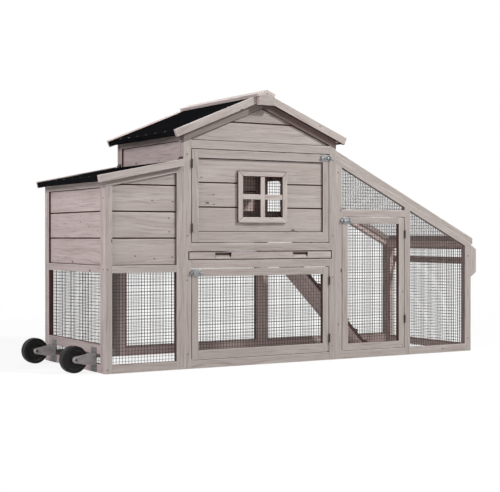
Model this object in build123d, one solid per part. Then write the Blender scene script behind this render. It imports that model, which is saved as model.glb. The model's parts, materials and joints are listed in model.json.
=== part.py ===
"""Chicken coop on wheels: nest section, house, wire run, castors and handle, as separate pieces.

Millimetres, +Z up. The coop is laid out from the nest's left outer face (x = 0), the front face (y = 0)
and the ground (z = 0), then moved so that the origin lies under the middle of the whole object.
"""

import os
from math import ceil, cos, radians, sin, tan

from build123d import *

# Sections along the front and the depth over the frames
nest_width = 321.0
house_width = 701.0
run_length = 722.0
depth = 588.0

# Frame timber
frame_thick = 20.0
stile_width = 29.0
post_width = 34.0
side_stile = 22.0
ground_rail = 32.0
back_ground_rail = 42.0
tray_rail = 31.0
board_thick = 10.0
board_inset = 8.0
board_groove = 2.0

# House front, from the ground rail up
lower_opening = 347.0
tray_slot = 34.0
upper_opening = 358.0
header_rail = 32.0
gable_lift = 3.5
gable_board = 75.0
back_board = 96.0

# House roof
roof_pitch = 22.5
gable_rail = 38.0
roof_thick = 12.0
felt_thick = 2.5
felt_drip = 4.0
eave_overhang = 35.0
barge_width = 29.0
barge_thick = 16.0
barge_rise = 5.0
barge_end_gap = 39.0
cap_width = 43.0
cap_thick = 13.0
cap_overhang = 33.0
ridge_block_width = 72.0
ridge_block_height = 47.0

# House side walls
wall_top_rail = 33.0
wall_sill_rise = 12.0
nest_lintel_drop = 75.0
nest_lintel = 32.0
pop_sill_rise = 6.0
pop_height = 293.0
pop_width = 224.0
pop_lintel = 22.0
wall_board = 190.0
perch_height = 30.0
perch_rise = 132.0

# Nest
nest_rail_bottom = 366.0
nest_rail = 28.0
nest_top_rail = 28.0
nest_side_rail_bottom = 69.0
nest_side_rail = 36.0
nest_board = 98.5
nest_floor_thick = 12.0
nest_floor_drop = 2.0
divider_thick = 12.0
divider_height = 240.0

# Nest lid
lid_pitch = 11.5
lid_drop = 107.5
lid_thick = 12.0
lid_overhang = 28.0
lid_seat = 0.5
lid_side_gap = 0.5
lid_wall_gap = 2.0
fascia_width = 26.5
fascia_thick = 16.0
fascia_rise = 4.0
fascia_end_gap = 6.0

# Run
run_drop = 46.5
run_end_height = 470.0
slope_rail = 26.5
run_door_width = 325.0
transom = 29.0
transom_drop = 13.0
run_roof_rail = 25.0
run_roof_overhang = 9.0
run_end_top_rail = 26.0

# Doors
door_gap = 2.5
door_thick = 18.0
door_stile = 28.5
upper_top_rail = 32.0
upper_bottom_rail = 40.0
upper_board = 93.5
lower_top_rail = 28.5
lower_bottom_rail = 34.5
run_top_rail = 26.0
run_bottom_rail = 27.0

# Window in the upper door
window_width = 182.0
window_height = 158.0
window_trim = 21.0
window_trim_proud = 3.0
muntin = 20.0
muntin_thick = 8.0
muntin_proud = 1.0

# Droppings tray
tray_front_width = 656.0
tray_gap = 1.5
tray_pan_margin = 3.0
tray_pan_height = 28.0
tray_sheet = 2.0
tray_seat = 0.3
tray_back_gap = 8.0
runner_width = 20.0
runner_height = 15.0
finger_width = 69.0
finger_height = 20.0
finger_depth = 10.0
finger_spacing = 354.0

# Wire nets
mesh_pitch = 12.7
net_thick = 1.2
net_strand = 2.0
net_lap = 8.0
net_seat = 0.2
net_gap_limit = 300

# Ramp
ramp_width = 180.0
ramp_thick = 15.0
ramp_angle = 45.8
ramp_top_drop = 20.0
cleat_thick = 8.0
cleat_width = 12.0
cleat_pitch = 72.0

# Castors
wheel_diameter = 100.0
wheel_width = 34.0
wheel_lift = 0.5
wheel_hub_diameter = 32.0
wheel_dish_diameter = 72.0
wheel_web_width = 20.0
wheel_edge_radius = 4.0
wheel_inset = 98.0
axle_reach = 82.0
axle_diameter = 8.0
axle_clearance = 0.05
fork_gap = 40.0
fork_side_gap = 0.4
fork_sheet = 3.0
fork_plate_height = 89.0
fork_plate_rise = 2.0
fork_arm_top = 70.0
fork_arm_bottom = 30.0
fork_end_radius = 12.0
axle_head_diameter = 15.0
axle_head = 5.0

# Handle
handle_reach = 30.0
cheek_base = 142.0
cheek_outer = 101.0
handle_top_gap = 1.0
bar_height = 29.0
bar_thick = 16.0

# Hinges and barrel bolts
hinge_height = 34.0
leaf_thick = 1.0
leaf_width = 15.0
knuckle_radius = 3.2
knuckle_gap = 0.3
knuckle_neck = 2.0
pin_radius = 1.5
pin_clearance = 0.05
hinge_inset = 57.0
run_hinge_top = 72.0
run_hinge_bottom = 121.0
lid_hinge_inset = 20.0
lid_leaf = 18.0
lid_wall_leaf = 7.0
bolt_radius = 3.0
bolt_clearance = 0.1
bolt_travel = 10.0
bolt_plate_height = 26.0
bolt_plate_length = 38.0
bolt_edge_gap = 2.0
bolt_strap_inset = 1.5
bolt_plate_thick = 1.5
bolt_strap = 6.0
bolt_strap_height = 14.0
bolt_strap_wall = 2.0
bolt_rod_lift = 1.5
bolt_keeper_clearance = 0.5
bolt_keeper_height = 20.0
bolt_knob_radius = 2.6
bolt_knob_reach = 9.0
bolt_drop = 15.0

# Screw heads
screw_radius = 3.5
screw_head = 1.4
screw_above_ground_rail = 25.0
screw_below_tray_rails = 44.0
screw_above_tray_rails = 28.0
screw_below_header = 23.0
screw_below_nest_top = 40.0

# Stations along X
x_house = nest_width
x_run = x_house + house_width
x_end = x_run + run_length
x_mid = x_house + house_width / 2
x_door_left = x_house + post_width
x_door_right = x_run - post_width
x_run_door = x_run + stile_width
x_run_post = x_run_door + run_door_width
x_run_panel = x_run_post + stile_width
x_end_post = x_end - post_width
x_wall_left = x_house + frame_thick
x_wall_right = x_run - frame_thick
x_axle = -axle_reach
y_back = depth - frame_thick

# Levels
z_lower = ground_rail + lower_opening
z_tray = z_lower + tray_rail
z_tray_top = z_tray + tray_slot
z_upper = z_tray_top + tray_rail
z_upper_top = z_upper + upper_opening
z_header = z_upper_top + header_rail
z_nest_rail = nest_rail_bottom + nest_rail
z_pop = z_tray_top + pop_sill_rise
z_pop_top = z_pop + pop_height
z_axle = wheel_diameter / 2 + wheel_lift

# Slopes: the gable line is the lower edge of the gable rails
sin_roof = sin(radians(roof_pitch))
cos_roof = cos(radians(roof_pitch))
tan_roof = tan(radians(roof_pitch))
z_apex = z_header + gable_lift + tan_roof * (house_width / 2 - post_width)
felt_bottom = gable_rail + roof_thick
felt_top = felt_bottom + felt_thick
barge_top = felt_top + barge_rise
roof_end = house_width / 2 + eave_overhang - gable_rail * sin_roof

sin_lid = sin(radians(lid_pitch))
cos_lid = cos(radians(lid_pitch))
tan_lid = tan(radians(lid_pitch))


def gable_line(x):
    """Height of the gable rails' lower edge at x."""
    return z_apex - tan_roof * abs(x - x_mid)


def roof_under(x):
    """Height of the roof boards' underside at x."""
    return gable_line(x) + gable_rail / cos_roof


z_wall_top = roof_under(x_house) - wall_top_rail
z_lid_wall = roof_under(x_house) - lid_drop - (lid_thick + felt_thick) / cos_lid
z_run_top = roof_under(x_run) - run_drop - slope_rail
run_fall = (z_run_top - run_end_height) / run_length


def lid_under(x):
    """Height of the closed lid's underside at x."""
    return z_lid_wall - tan_lid * (x_house - x)


def nest_rail_top(x):
    """Height of the nest frame's sloped top edge at x."""
    return lid_under(x) - lid_seat


def nest_rail_low(x):
    """Height of the lower edge of the nest's sloped rails at x."""
    return nest_rail_top(x) - nest_top_rail / cos_lid


def run_line(x):
    """Height of the sloped top edge of the run's wall frames at x."""
    return z_run_top - run_fall * (x - x_run)


z_transom_top = run_line(x_run_post) - slope_rail - transom_drop
z_transom = z_transom_top - transom
z_nest_top = nest_rail_low(0)
z_handle = run_line(x_end + run_roof_overhang) - handle_top_gap - cheek_base / 2
z_nest_floor = z_nest_rail - nest_floor_drop
z_nest_lintel = lid_under(x_house) - nest_lintel_drop
z_perch_top = z_tray_top + perch_rise + perch_height

y_wall = frame_thick + side_stile
y_wall_back = y_back - side_stile
y_pop_back = y_wall_back - side_stile
y_pop = y_pop_back - pop_width
y_jamb = y_pop - side_stile
y_ramp = (y_pop + y_pop_back) / 2
y_castors = (wheel_inset, depth - wheel_inset)

# Whole object, for the origin under its middle
x_low = x_axle - wheel_diameter / 2
x_high = x_end + handle_reach
origin_shift = Pos(-(x_low + x_high) / 2, -depth / 2, 0)


def block(x0, x1, y0, y1, z0, z1):
    """Straight timber or plate between two corners."""
    return Pos((x0 + x1) / 2, (y0 + y1) / 2, (z0 + z1) / 2) * Box(x1 - x0, y1 - y0, z1 - z0)


def ring(points):
    """Closed outline through points in space."""
    return Wire.make_polygon(points, close=True)


def prism_y(outline, y0, y1):
    """Outline in (x, z) carried from depth y0 to y1."""
    face = Face(ring([(x, y0, z) for x, z in outline]))
    return Solid.extrude(face, (0, y1 - y0, 0))


def prism_x(outline, x0, x1):
    """Outline in (y, z) carried from station x0 to x1."""
    face = Face(ring([(x0, y, z) for y, z in outline]))
    return Solid.extrude(face, (x1 - x0, 0, 0))


def rectangle(u0, u1, v0, v1):
    """Corners of an upright rectangle, anticlockwise."""
    return [(u0, v0), (u1, v0), (u1, v1), (u0, v1)]


def rod(axis, start, end, radius):
    """Round bar along an axis ('x', 'y' or 'z') between two points."""
    turn = {"x": Rot(0, 90, 0), "y": Rot(90, 0, 0), "z": Rot(0, 0, 0)}[axis]
    middle = [(a + b) / 2 for a, b in zip(start, end)]
    length = sum(abs(b - a) for a, b in zip(start, end))
    return Pos(*middle) * turn * Cylinder(radius, length)


def clip(outline, region, margin=0.0):
    """Part of a convex outline inside a convex anticlockwise region, a margin away from its edges."""
    kept = list(outline)
    for (ax, ay), (bx, by) in zip(region, region[1:] + region[:1]):
        length = ((bx - ax) ** 2 + (by - ay) ** 2) ** 0.5
        side = []
        for x, y in kept:
            side.append(((bx - ax) * (y - ay) - (by - ay) * (x - ax)) / length - margin)
        cut = []
        for i, (x, y) in enumerate(kept):
            if side[i] * side[i - 1] < 0:
                share = side[i - 1] / (side[i - 1] - side[i])
                px, py = kept[i - 1]
                cut.append((px + (x - px) * share, py + (y - py) * share))
            if side[i] >= 0:
                cut.append((x, y))
        kept = cut
    return kept


def area(outline):
    """Area of a flat outline."""
    total = 0.0
    for (ax, ay), (bx, by) in zip(outline, outline[1:] + outline[:1]):
        total += (ax * by - bx * ay) / 2
    return abs(total)


def limits(region):
    """Smallest and largest u and v of a region."""
    us = [u for u, v in region]
    vs = [v for u, v in region]
    return min(us), max(us), min(vs), max(vs)


def boards(region, pitch, z_first):
    """Outlines of horizontal boards that fill a region, with a groove between neighbours."""
    u0, u1, v0, v1 = limits(region)
    rows = []
    z = z_first
    while z < v1 - board_groove:
        top = min(z + pitch, v1)
        low = z if z == z_first else z + board_groove
        row = clip(rectangle(u0, u1, low, top), region)
        if len(row) > 2 and area(row) > board_groove * pitch:
            rows.append(row)
        z += pitch
    return rows


def net_gaps(region, pitch):
    """Outlines of the openings of a net over a region at a given pitch."""
    u0, u1, v0, v1 = limits(region)
    columns = ceil((u1 - u0) / pitch)
    lines = ceil((v1 - v0) / pitch)
    u_first = (u0 + u1 - columns * pitch) / 2
    v_first = (v0 + v1 - lines * pitch) / 2
    half = net_strand / 2
    gaps = []
    for i in range(columns):
        for j in range(lines):
            u = u_first + i * pitch
            v = v_first + j * pitch
            cell = rectangle(u + half, u + pitch - half, v + half, v + pitch - half)
            gap = clip(cell, region, net_strand)
            if len(gap) > 2 and area(gap) > net_strand * pitch:
                gaps.append(gap)
    return gaps


def net(region, place, direction):
    """Flat wire net: one holed face over a convex region, thickened along a direction."""
    multiple = 1
    gaps = net_gaps(region, mesh_pitch)
    while len(gaps) > net_gap_limit:
        multiple += 1
        gaps = net_gaps(region, multiple * mesh_pitch)
    holes = [ring([place(u, v) for u, v in gap]) for gap in gaps]
    face = Face(ring([place(u, v) for u, v in region]), holes)
    return Solid.extrude(face, Vector(*direction) * net_thick)


def net_y(region, y, inward):
    """Net behind a wall that faces front or back; inward is the way it thickens along Y."""
    return net(region, lambda u, v: (u, y, v), (0, inward, 0))


def net_x(region, x, inward):
    """Net behind a wall that faces left or right; inward is the way it thickens along X."""
    return net(region, lambda u, v: (x, u, v), (inward, 0, 0))


def roof_point(side, d, off):
    """Point square off the gable line, d from the middle along X, off above it; side is -1 left, 1 right."""
    return x_mid + side * (d + off * sin_roof), z_apex - tan_roof * d + off * cos_roof


def ridge_point(off):
    """Point above the middle of the house where two slopes at a given offset meet."""
    return x_mid, z_apex + off / cos_roof


def slope_board(side, d, low, high, y0, y1):
    """Board on one roof slope from the ridge down to a square end."""
    outline = [roof_point(side, d, low), ridge_point(low), ridge_point(high), roof_point(side, d, high)]
    return prism_y(outline, y0, y1)


def lid_point(d, off):
    """Point square off the closed lid's underside, d left of the house wall."""
    return x_house - d - off * sin_lid, z_lid_wall - tan_lid * d + off * cos_lid


def lid_board(d0, d1, low, high, y0, y1):
    """Board on the lid's slope from a plumb upper end down to a square lower end."""
    upper_low = (x_house - d0, z_lid_wall - tan_lid * d0 + low / cos_lid)
    upper_high = (x_house - d0, z_lid_wall - tan_lid * d0 + high / cos_lid)
    return prism_y([lid_point(d1, low), upper_low, upper_high, lid_point(d1, high)], y0, y1)


def nest_frame(y0, y1, low_rail):
    """Front or back frame of the nest: two stiles, three rails, the top one sloped."""
    x_right = x_house - stile_width
    solids = []
    for x0, x1 in ((0, stile_width), (x_right, x_house)):
        outline = [(x0, 0), (x1, 0), (x1, nest_rail_low(x1)), (x0, nest_rail_low(x0))]
        solids.append(prism_y(outline, y0, y1))
    slope = [(0, nest_rail_low(0)), (x_house, nest_rail_low(x_house))]
    slope += [(x_house, nest_rail_top(x_house)), (0, nest_rail_top(0))]
    solids.append(prism_y(slope, y0, y1))
    solids.append(block(stile_width, x_right, y0, y1, nest_rail_bottom, z_nest_rail))
    solids.append(block(stile_width, x_right, y0, y1, 0, low_rail))
    return solids


def nest_side_frame():
    """Left wall of the nest between the front and back frames."""
    bevel = [(0, z_nest_top), (frame_thick, z_nest_top)]
    bevel += [(frame_thick, nest_rail_top(frame_thick)), (0, nest_rail_top(0))]
    solids = [prism_y(bevel, frame_thick, y_back)]
    for y0, y1 in ((frame_thick, y_wall), (y_wall_back, y_back)):
        solids.append(block(0, frame_thick, y0, y1, 0, z_nest_top))
    rails = (
        (0, ground_rail),
        (nest_side_rail_bottom, nest_side_rail_bottom + nest_side_rail),
        (nest_rail_bottom, z_nest_rail),
    )
    for z0, z1 in rails:
        solids.append(block(0, frame_thick, y_wall, y_wall_back, z0, z1))
    return solids


def nest_boards():
    """Boards of the nest's front, back and left wall."""
    x0 = stile_width
    x1 = x_house - stile_width
    face = [(x0, z_nest_rail), (x1, z_nest_rail), (x1, nest_rail_low(x1)), (x0, nest_rail_low(x0))]
    side = rectangle(y_wall, y_wall_back, z_nest_rail, z_nest_top)
    solids = []
    for row in boards(face, nest_board, z_nest_rail):
        solids.append(prism_y(row, board_inset, board_inset + board_thick))
        solids.append(prism_y(row, depth - board_inset - board_thick, depth - board_inset))
    for row in boards(side, nest_board, z_nest_rail):
        solids.append(prism_x(row, board_inset, board_inset + board_thick))
    return solids


def nest_nets():
    """Nets of the nest's front, back and left wall."""
    x0 = frame_thick + net_seat + 2 * net_thick
    x1 = x_house - stile_width + net_lap
    z1 = nest_rail_bottom + net_lap
    front = rectangle(x0, x1, ground_rail - net_lap, z1)
    back = rectangle(x0, x1, back_ground_rail - net_lap, z1)
    side = rectangle(y_wall - net_lap, y_wall_back + net_lap, ground_rail - net_lap, z1)
    return [
        net_y(front, frame_thick + net_seat, 1),
        net_y(back, y_back - net_seat, -1),
        net_x(side, frame_thick + net_seat, 1),
    ]


def house_frame(y0, y1, rails):
    """Front or back frame of the house: posts, rails and the two gable rails."""
    solids = []
    for x0, x1 in ((x_house, x_door_left), (x_door_right, x_run)):
        outline = [(x0, 0), (x1, 0), (x1, gable_line(x1)), (x0, gable_line(x0))]
        solids.append(prism_y(outline, y0, y1))
    for z0, z1 in rails:
        solids.append(block(x_door_left, x_door_right, y0, y1, z0, z1))
    for x in (x_house, x_run):
        slope = [(x, gable_line(x)), (x_mid, z_apex), ridge_point(gable_rail), (x, roof_under(x))]
        solids.append(prism_y(slope, y0, y1))
    return solids


def house_front_frame():
    """Front frame of the house, its posts notched for the tray front."""
    rails = (
        (0, ground_rail),
        (z_lower, z_tray),
        (z_tray_top, z_upper),
        (z_upper_top, z_header),
    )
    half = tray_front_width / 2 + tray_gap
    notch = block(x_mid - half, x_mid + half, 0, frame_thick, z_tray, z_tray_top)
    left, right, *others = house_frame(0, frame_thick, rails)
    return [left - notch, right - notch, *others]


def gable_region(z0):
    """House wall outline between the posts, from z0 up to the gable rails."""
    return [
        (x_door_left, z0),
        (x_door_right, z0),
        (x_door_right, gable_line(x_door_right)),
        (x_mid, z_apex),
        (x_door_left, gable_line(x_door_left)),
    ]


def wall_frame(x0, x1, x_outer):
    """Stiles, bottom rail line and bevelled top rail shared by the house's side walls."""
    x_inner = x0 + x1 - x_outer
    bevel = [(x_outer, z_wall_top), (x_inner, z_wall_top)]
    bevel += [(x_inner, roof_under(x_inner)), (x_outer, roof_under(x_outer))]
    solids = [prism_y(bevel, frame_thick, y_back)]
    for y0, y1 in ((frame_thick, y_wall), (y_wall_back, y_back)):
        solids.append(block(x0, x1, y0, y1, z_lower, z_wall_top))
    return solids


def house_left_wall():
    """Wall between nest and house, with two nest openings."""
    x0 = x_house
    x1 = x_wall_left
    z_sill = z_tray_top + wall_sill_rise
    solids = wall_frame(x0, x1, x_house)
    solids.append(block(x0, x1, y_wall, y_wall_back, z_lower, z_sill))
    solids.append(block(x0, x1, y_wall, y_wall_back, z_nest_lintel, z_nest_lintel + nest_lintel))
    solids.append(block(x0, x1, y_jamb, y_pop, z_sill, z_nest_lintel))
    return solids


def house_right_wall():
    """Wall between house and run, with the pop hole."""
    x0 = x_wall_right
    x1 = x_run
    solids = wall_frame(x0, x1, x_run)
    solids.append(block(x0, x1, y_wall, y_wall_back, z_lower, z_pop))
    solids.append(block(x0, x1, y_jamb, y_pop, z_pop, z_pop_top))
    solids.append(block(x0, x1, y_pop_back, y_wall_back, z_pop, z_pop_top))
    solids.append(block(x0, x1, y_jamb, y_wall_back, z_pop_top, z_pop_top + pop_lintel))
    return solids


def house_side_boards():
    """Boards of the house's side walls."""
    left = rectangle(y_wall, y_wall_back, z_nest_lintel + nest_lintel, z_wall_top)
    right = rectangle(y_wall, y_jamb, z_pop, z_pop_top + pop_lintel)
    above = rectangle(y_wall, y_wall_back, z_pop_top + pop_lintel, z_wall_top)
    solids = []
    for row in boards(left, wall_board, left[0][1]):
        solids.append(prism_x(row, x_house + board_inset, x_house + board_inset + board_thick))
    for region in (right, above):
        for row in boards(region, wall_board, region[0][1]):
            solids.append(prism_x(row, x_run - board_inset - board_thick, x_run - board_inset))
    return solids


def gable_boards():
    """Boards that fill the front gable."""
    rows = boards(gable_region(z_header), gable_board, z_header)
    return [prism_y(row, board_inset, board_inset + board_thick) for row in rows]


def back_boards():
    """Boards of the house's back wall up into the gable."""
    rows = boards(gable_region(z_tray), back_board, z_tray)
    return [prism_y(row, depth - board_inset - board_thick, depth - board_inset) for row in rows]


def house_back_net():
    """Net below the boards of the house's back wall."""
    z0 = back_ground_rail - net_lap
    region = rectangle(x_door_left - net_lap, x_door_right + net_lap, z0, z_lower + net_lap)
    return [net_y(region, y_back - net_seat, -1)]


def roof_felt():
    """Felt on both slopes, turned down over the eaves."""
    solids = []
    end = roof_end + felt_thick
    for side in (-1, 1):
        solids.append(slope_board(side, end, felt_bottom, felt_top, 0, depth))
        flap = [
            roof_point(side, roof_end, gable_rail - felt_drip),
            roof_point(side, end, gable_rail - felt_drip),
            roof_point(side, end, felt_bottom),
            roof_point(side, roof_end, felt_bottom),
        ]
        solids.append(prism_y(flap, 0, depth))
    return solids


def barge_boards():
    """Four barge boards with square ends, two on each gable."""
    low = barge_top - barge_width
    d_low = house_width / 2 + eave_overhang - gable_rail * sin_roof
    d_high = barge_end_gap - barge_top * sin_roof
    solids = []
    for side in (-1, 1):
        outline = [
            roof_point(side, d_low, low),
            roof_point(side, d_high, low),
            roof_point(side, d_high, barge_top),
            roof_point(side, d_low, barge_top),
        ]
        solids.append(prism_y(outline, -barge_thick, 0))
        solids.append(prism_y(outline, depth, depth + barge_thick))
    return solids


def ridge_cap():
    """Two boards that cover the ridge."""
    high = felt_top + cap_thick
    d = cap_width * cos_roof - high * sin_roof
    return [slope_board(side, d, felt_top, high, -cap_overhang, depth + cap_overhang) for side in (-1, 1)]


def ridge_blocks():
    """Five-sided blocks under the ends of the ridge cap."""
    half = ridge_block_width / 2
    z_top = ridge_point(felt_top)[1]
    z_low = z_top - ridge_block_height
    outline = [
        (x_mid - half, z_low),
        (x_mid + half, z_low),
        (x_mid + half, z_top - tan_roof * half),
        (x_mid, z_top),
        (x_mid - half, z_top - tan_roof * half),
    ]
    front = prism_y(outline, -cap_overhang, -barge_thick)
    back = prism_y(outline, depth + barge_thick, depth + cap_overhang)
    return [front, back]


def run_frame(y0, y1, low_rail, with_door):
    """Front or back frame of the run: stiles, ground rails, sloped rail and, with a door, a transom."""
    uprights = ((x_run, x_run_door), (x_run_post, x_run_panel), (x_end_post, x_end))
    solids = []
    for x0, x1 in uprights:
        outline = [(x0, 0), (x1, 0), (x1, run_line(x1) - slope_rail), (x0, run_line(x0) - slope_rail)]
        solids.append(prism_y(outline, y0, y1))
    slope = [(x_run, run_line(x_run) - slope_rail), (x_end, run_line(x_end) - slope_rail)]
    slope += [(x_end, run_line(x_end)), (x_run, run_line(x_run))]
    solids.append(prism_y(slope, y0, y1))
    solids.append(block(x_run_door, x_run_post, y0, y1, 0, low_rail))
    solids.append(block(x_run_panel, x_end_post, y0, y1, 0, low_rail))
    if with_door:
        solids.append(block(x_run_door, x_run_post, y0, y1, z_transom, z_transom_top))
    return solids


def run_end_frame():
    """End wall of the run between the end posts."""
    x0 = x_end - frame_thick
    z_top = run_end_height - run_end_top_rail
    bevel = [(x0, z_top), (x_end, z_top), (x_end, run_line(x_end)), (x0, run_line(x0))]
    solids = [prism_y(bevel, frame_thick, y_back)]
    for y0, y1 in ((frame_thick, y_wall), (y_wall_back, y_back)):
        solids.append(block(x0, x_end, y0, y1, 0, z_top))
    solids.append(block(x0, x_end, y_wall, y_wall_back, 0, ground_rail))
    return solids


def run_roof_frame():
    """Sloped roof frame of the run: two long rails and two cross rails."""
    x_far = x_end + run_roof_overhang

    def length(x0, x1, y0, y1):
        outline = [(x0, run_line(x0)), (x1, run_line(x1))]
        outline += [(x1, run_line(x1) + slope_rail), (x0, run_line(x0) + slope_rail)]
        return prism_y(outline, y0, y1)

    solids = [length(x_run, x_far, 0, run_roof_rail)]
    solids.append(length(x_run, x_far, depth - run_roof_rail, depth))
    for x0 in (x_run, x_far - run_roof_rail):
        solids.append(length(x0, x0 + run_roof_rail, run_roof_rail, depth - run_roof_rail))
    return solids


def run_wall_nets():
    """Nets of the run: over the door, right of the door, two at the back and one at the end."""
    def under_slope(x0, x1, z0):
        lap = slope_rail - net_lap
        return [(x0, z0), (x1, z0), (x1, run_line(x1) - lap), (x0, run_line(x0) - lap)]

    x_left = x_run_door - net_lap
    x_post = x_run_post + stile_width / 2
    x_right = x_end_post + net_lap
    z_back = back_ground_rail - net_lap
    front = frame_thick + net_seat
    back = y_back - net_seat
    end = rectangle(y_wall - net_lap, y_wall_back + net_lap, ground_rail - net_lap,
                    run_end_height - run_end_top_rail + net_lap)
    return [
        net_y(under_slope(x_left, x_post - net_seat, z_transom_top - net_lap), front, 1),
        net_y(under_slope(x_post + net_seat, x_right, ground_rail - net_lap), front, 1),
        net_y(under_slope(x_left, x_post - net_seat, z_back), back, -1),
        net_y(under_slope(x_post + net_seat, x_right, z_back), back, -1),
        net_x(end, x_end - frame_thick - net_seat, -1),
    ]


def run_roof_net():
    """Net on the underside of the run's roof frame, between the walls."""
    fall = (1 + run_fall ** 2) ** 0.5
    along = Vector(1, 0, -run_fall) / fall
    down = Vector(-run_fall, 0, -1) / fall
    start = Vector(x_run, 0, run_line(x_run)) + down * net_seat
    margin = net_seat + frame_thick + 2 * net_thick
    length = (run_length - margin) * fall
    region = rectangle(margin, depth - margin, net_lap, length - net_lap)

    def place(u, v):
        point = start + along * v
        return point.X, u, point.Z

    return [net(region, place, (down.X, 0, down.Z))]


def handle_cheeks():
    """Two chamfered cheeks that stand off the run's end posts."""
    half_base = cheek_base / 2
    half_outer = cheek_outer / 2
    outline = [
        (x_end, z_handle - half_base),
        (x_end + handle_reach, z_handle - half_outer),
        (x_end + handle_reach, z_handle + half_outer),
        (x_end, z_handle + half_base),
    ]
    return [prism_y(outline, 0, frame_thick), prism_y(outline, y_back, depth)]


def handle_bar():
    """Bar between the handle cheeks."""
    x1 = x_end + handle_reach
    half = bar_height / 2
    return [block(x1 - bar_thick, x1, frame_thick, y_back, z_handle - half, z_handle + half)]


z_ramp = z_pop - ramp_top_drop
tan_ramp = tan(radians(ramp_angle))
cos_ramp = cos(radians(ramp_angle))
sin_ramp = sin(radians(ramp_angle))


def ramp_board():
    """Ramp from the house wall's sill down to the ground."""
    drop = ramp_thick / cos_ramp
    x_foot = x_run + z_ramp / tan_ramp
    x_heel = x_run + (z_ramp - drop) / tan_ramp
    outline = [(x_run, z_ramp), (x_run, z_ramp - drop), (x_heel, 0), (x_foot, 0)]
    return [prism_y(outline, y_ramp - ramp_width / 2, y_ramp + ramp_width / 2)]


def ramp_cleats():
    """Climbing strips on the ramp."""
    length = z_ramp / sin_ramp
    count = int((length - cleat_width) / cleat_pitch)
    solids = []
    for i in range(count):
        corners = []
        for s, off in rectangle(0, cleat_width, 0, cleat_thick):
            along = cleat_pitch * (i + 0.7) + s
            x = x_run + along * cos_ramp + off * sin_ramp
            corners.append((x, z_ramp - along * sin_ramp + off * cos_ramp))
        solids.append(prism_y(corners, y_ramp - ramp_width / 2, y_ramp + ramp_width / 2))
    return solids


fork_outer = fork_gap / 2 + fork_sheet


def castor_bracket(y):
    """Steel fork: a plate against the nest's left wall and two arms that taper to the axle."""
    z0 = fork_plate_rise
    plate = block(-fork_sheet, 0, y - fork_outer, y + fork_outer, z0, z0 + fork_plate_height)
    bend = x_axle / 2
    arm = [
        (-fork_sheet, fork_arm_bottom),
        (-fork_sheet, fork_arm_top),
        (bend, fork_arm_top),
        (x_axle, z_axle + fork_end_radius),
        (x_axle, z_axle - fork_end_radius),
        (bend, fork_arm_bottom),
    ]
    bracket = plate
    for y0 in (y - fork_outer, y + fork_gap / 2):
        y1 = y0 + fork_sheet
        bracket += prism_y(arm, y0, y1)
        bracket += rod("y", (x_axle, y0, z_axle), (x_axle, y1, z_axle), fork_end_radius)
    reach = fork_outer + fork_sheet
    bore_radius = axle_diameter / 2 + axle_clearance
    return bracket - rod("y", (x_axle, y - reach, z_axle), (x_axle, y + reach, z_axle), bore_radius)


def castor_screws():
    """Screw heads at the top and bottom tabs of the castor plates."""
    heads = []
    lower_tab = (fork_plate_rise + fork_arm_bottom) / 2
    upper_tab = (fork_arm_top + fork_plate_rise + fork_plate_height) / 2
    for y in y_castors:
        for z in (lower_tab, upper_tab):
            for dy in (-fork_gap / 4, fork_gap / 4):
                start = (-fork_sheet - screw_head, y + dy, z)
                heads.append(rod("x", start, (-fork_sheet, y + dy, z), screw_radius))
    return heads


def wheel_axle(y):
    """Axle bolt of one castor with a round head at the front and a nut at the back."""
    y0 = y - fork_outer
    y1 = y + fork_outer
    shaft = rod("y", (x_axle, y0 - axle_head, z_axle), (x_axle, y1 + axle_head, z_axle), axle_diameter / 2)
    head = rod("y", (x_axle, y0 - axle_head, z_axle), (x_axle, y0, z_axle), axle_head_diameter / 2)
    flat = RegularPolygon(axle_head_diameter / 2, 6)
    nut = Pos(x_axle, y1, z_axle) * Rot(-90, 0, 0) * extrude(flat, axle_head)
    return shaft + head + nut


def wheel(y):
    """Castor wheel with a dished web, a rounded rim and a hub that fills the fork."""
    radius = wheel_diameter / 2
    hub_half = fork_gap / 2 - fork_side_gap
    rim = Pos(x_axle, y, z_axle) * Rot(90, 0, 0) * Cylinder(radius, wheel_width)
    rim = fillet(rim.edges().filter_by(GeomType.CIRCLE), wheel_edge_radius)
    hub_a = (x_axle, y - hub_half, z_axle)
    hub_b = (x_axle, y + hub_half, z_axle)
    dish = Pos(x_axle, y, z_axle) * Rot(90, 0, 0) * Cylinder(wheel_dish_diameter / 2, wheel_width)
    web = Pos(x_axle, y, z_axle) * Rot(90, 0, 0) * Cylinder(wheel_dish_diameter / 2, wheel_web_width)
    body = rim - dish + web + rod("y", hub_a, hub_b, wheel_hub_diameter / 2)
    return body - rod("y", hub_a, hub_b, axle_diameter / 2 + axle_clearance)


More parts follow.
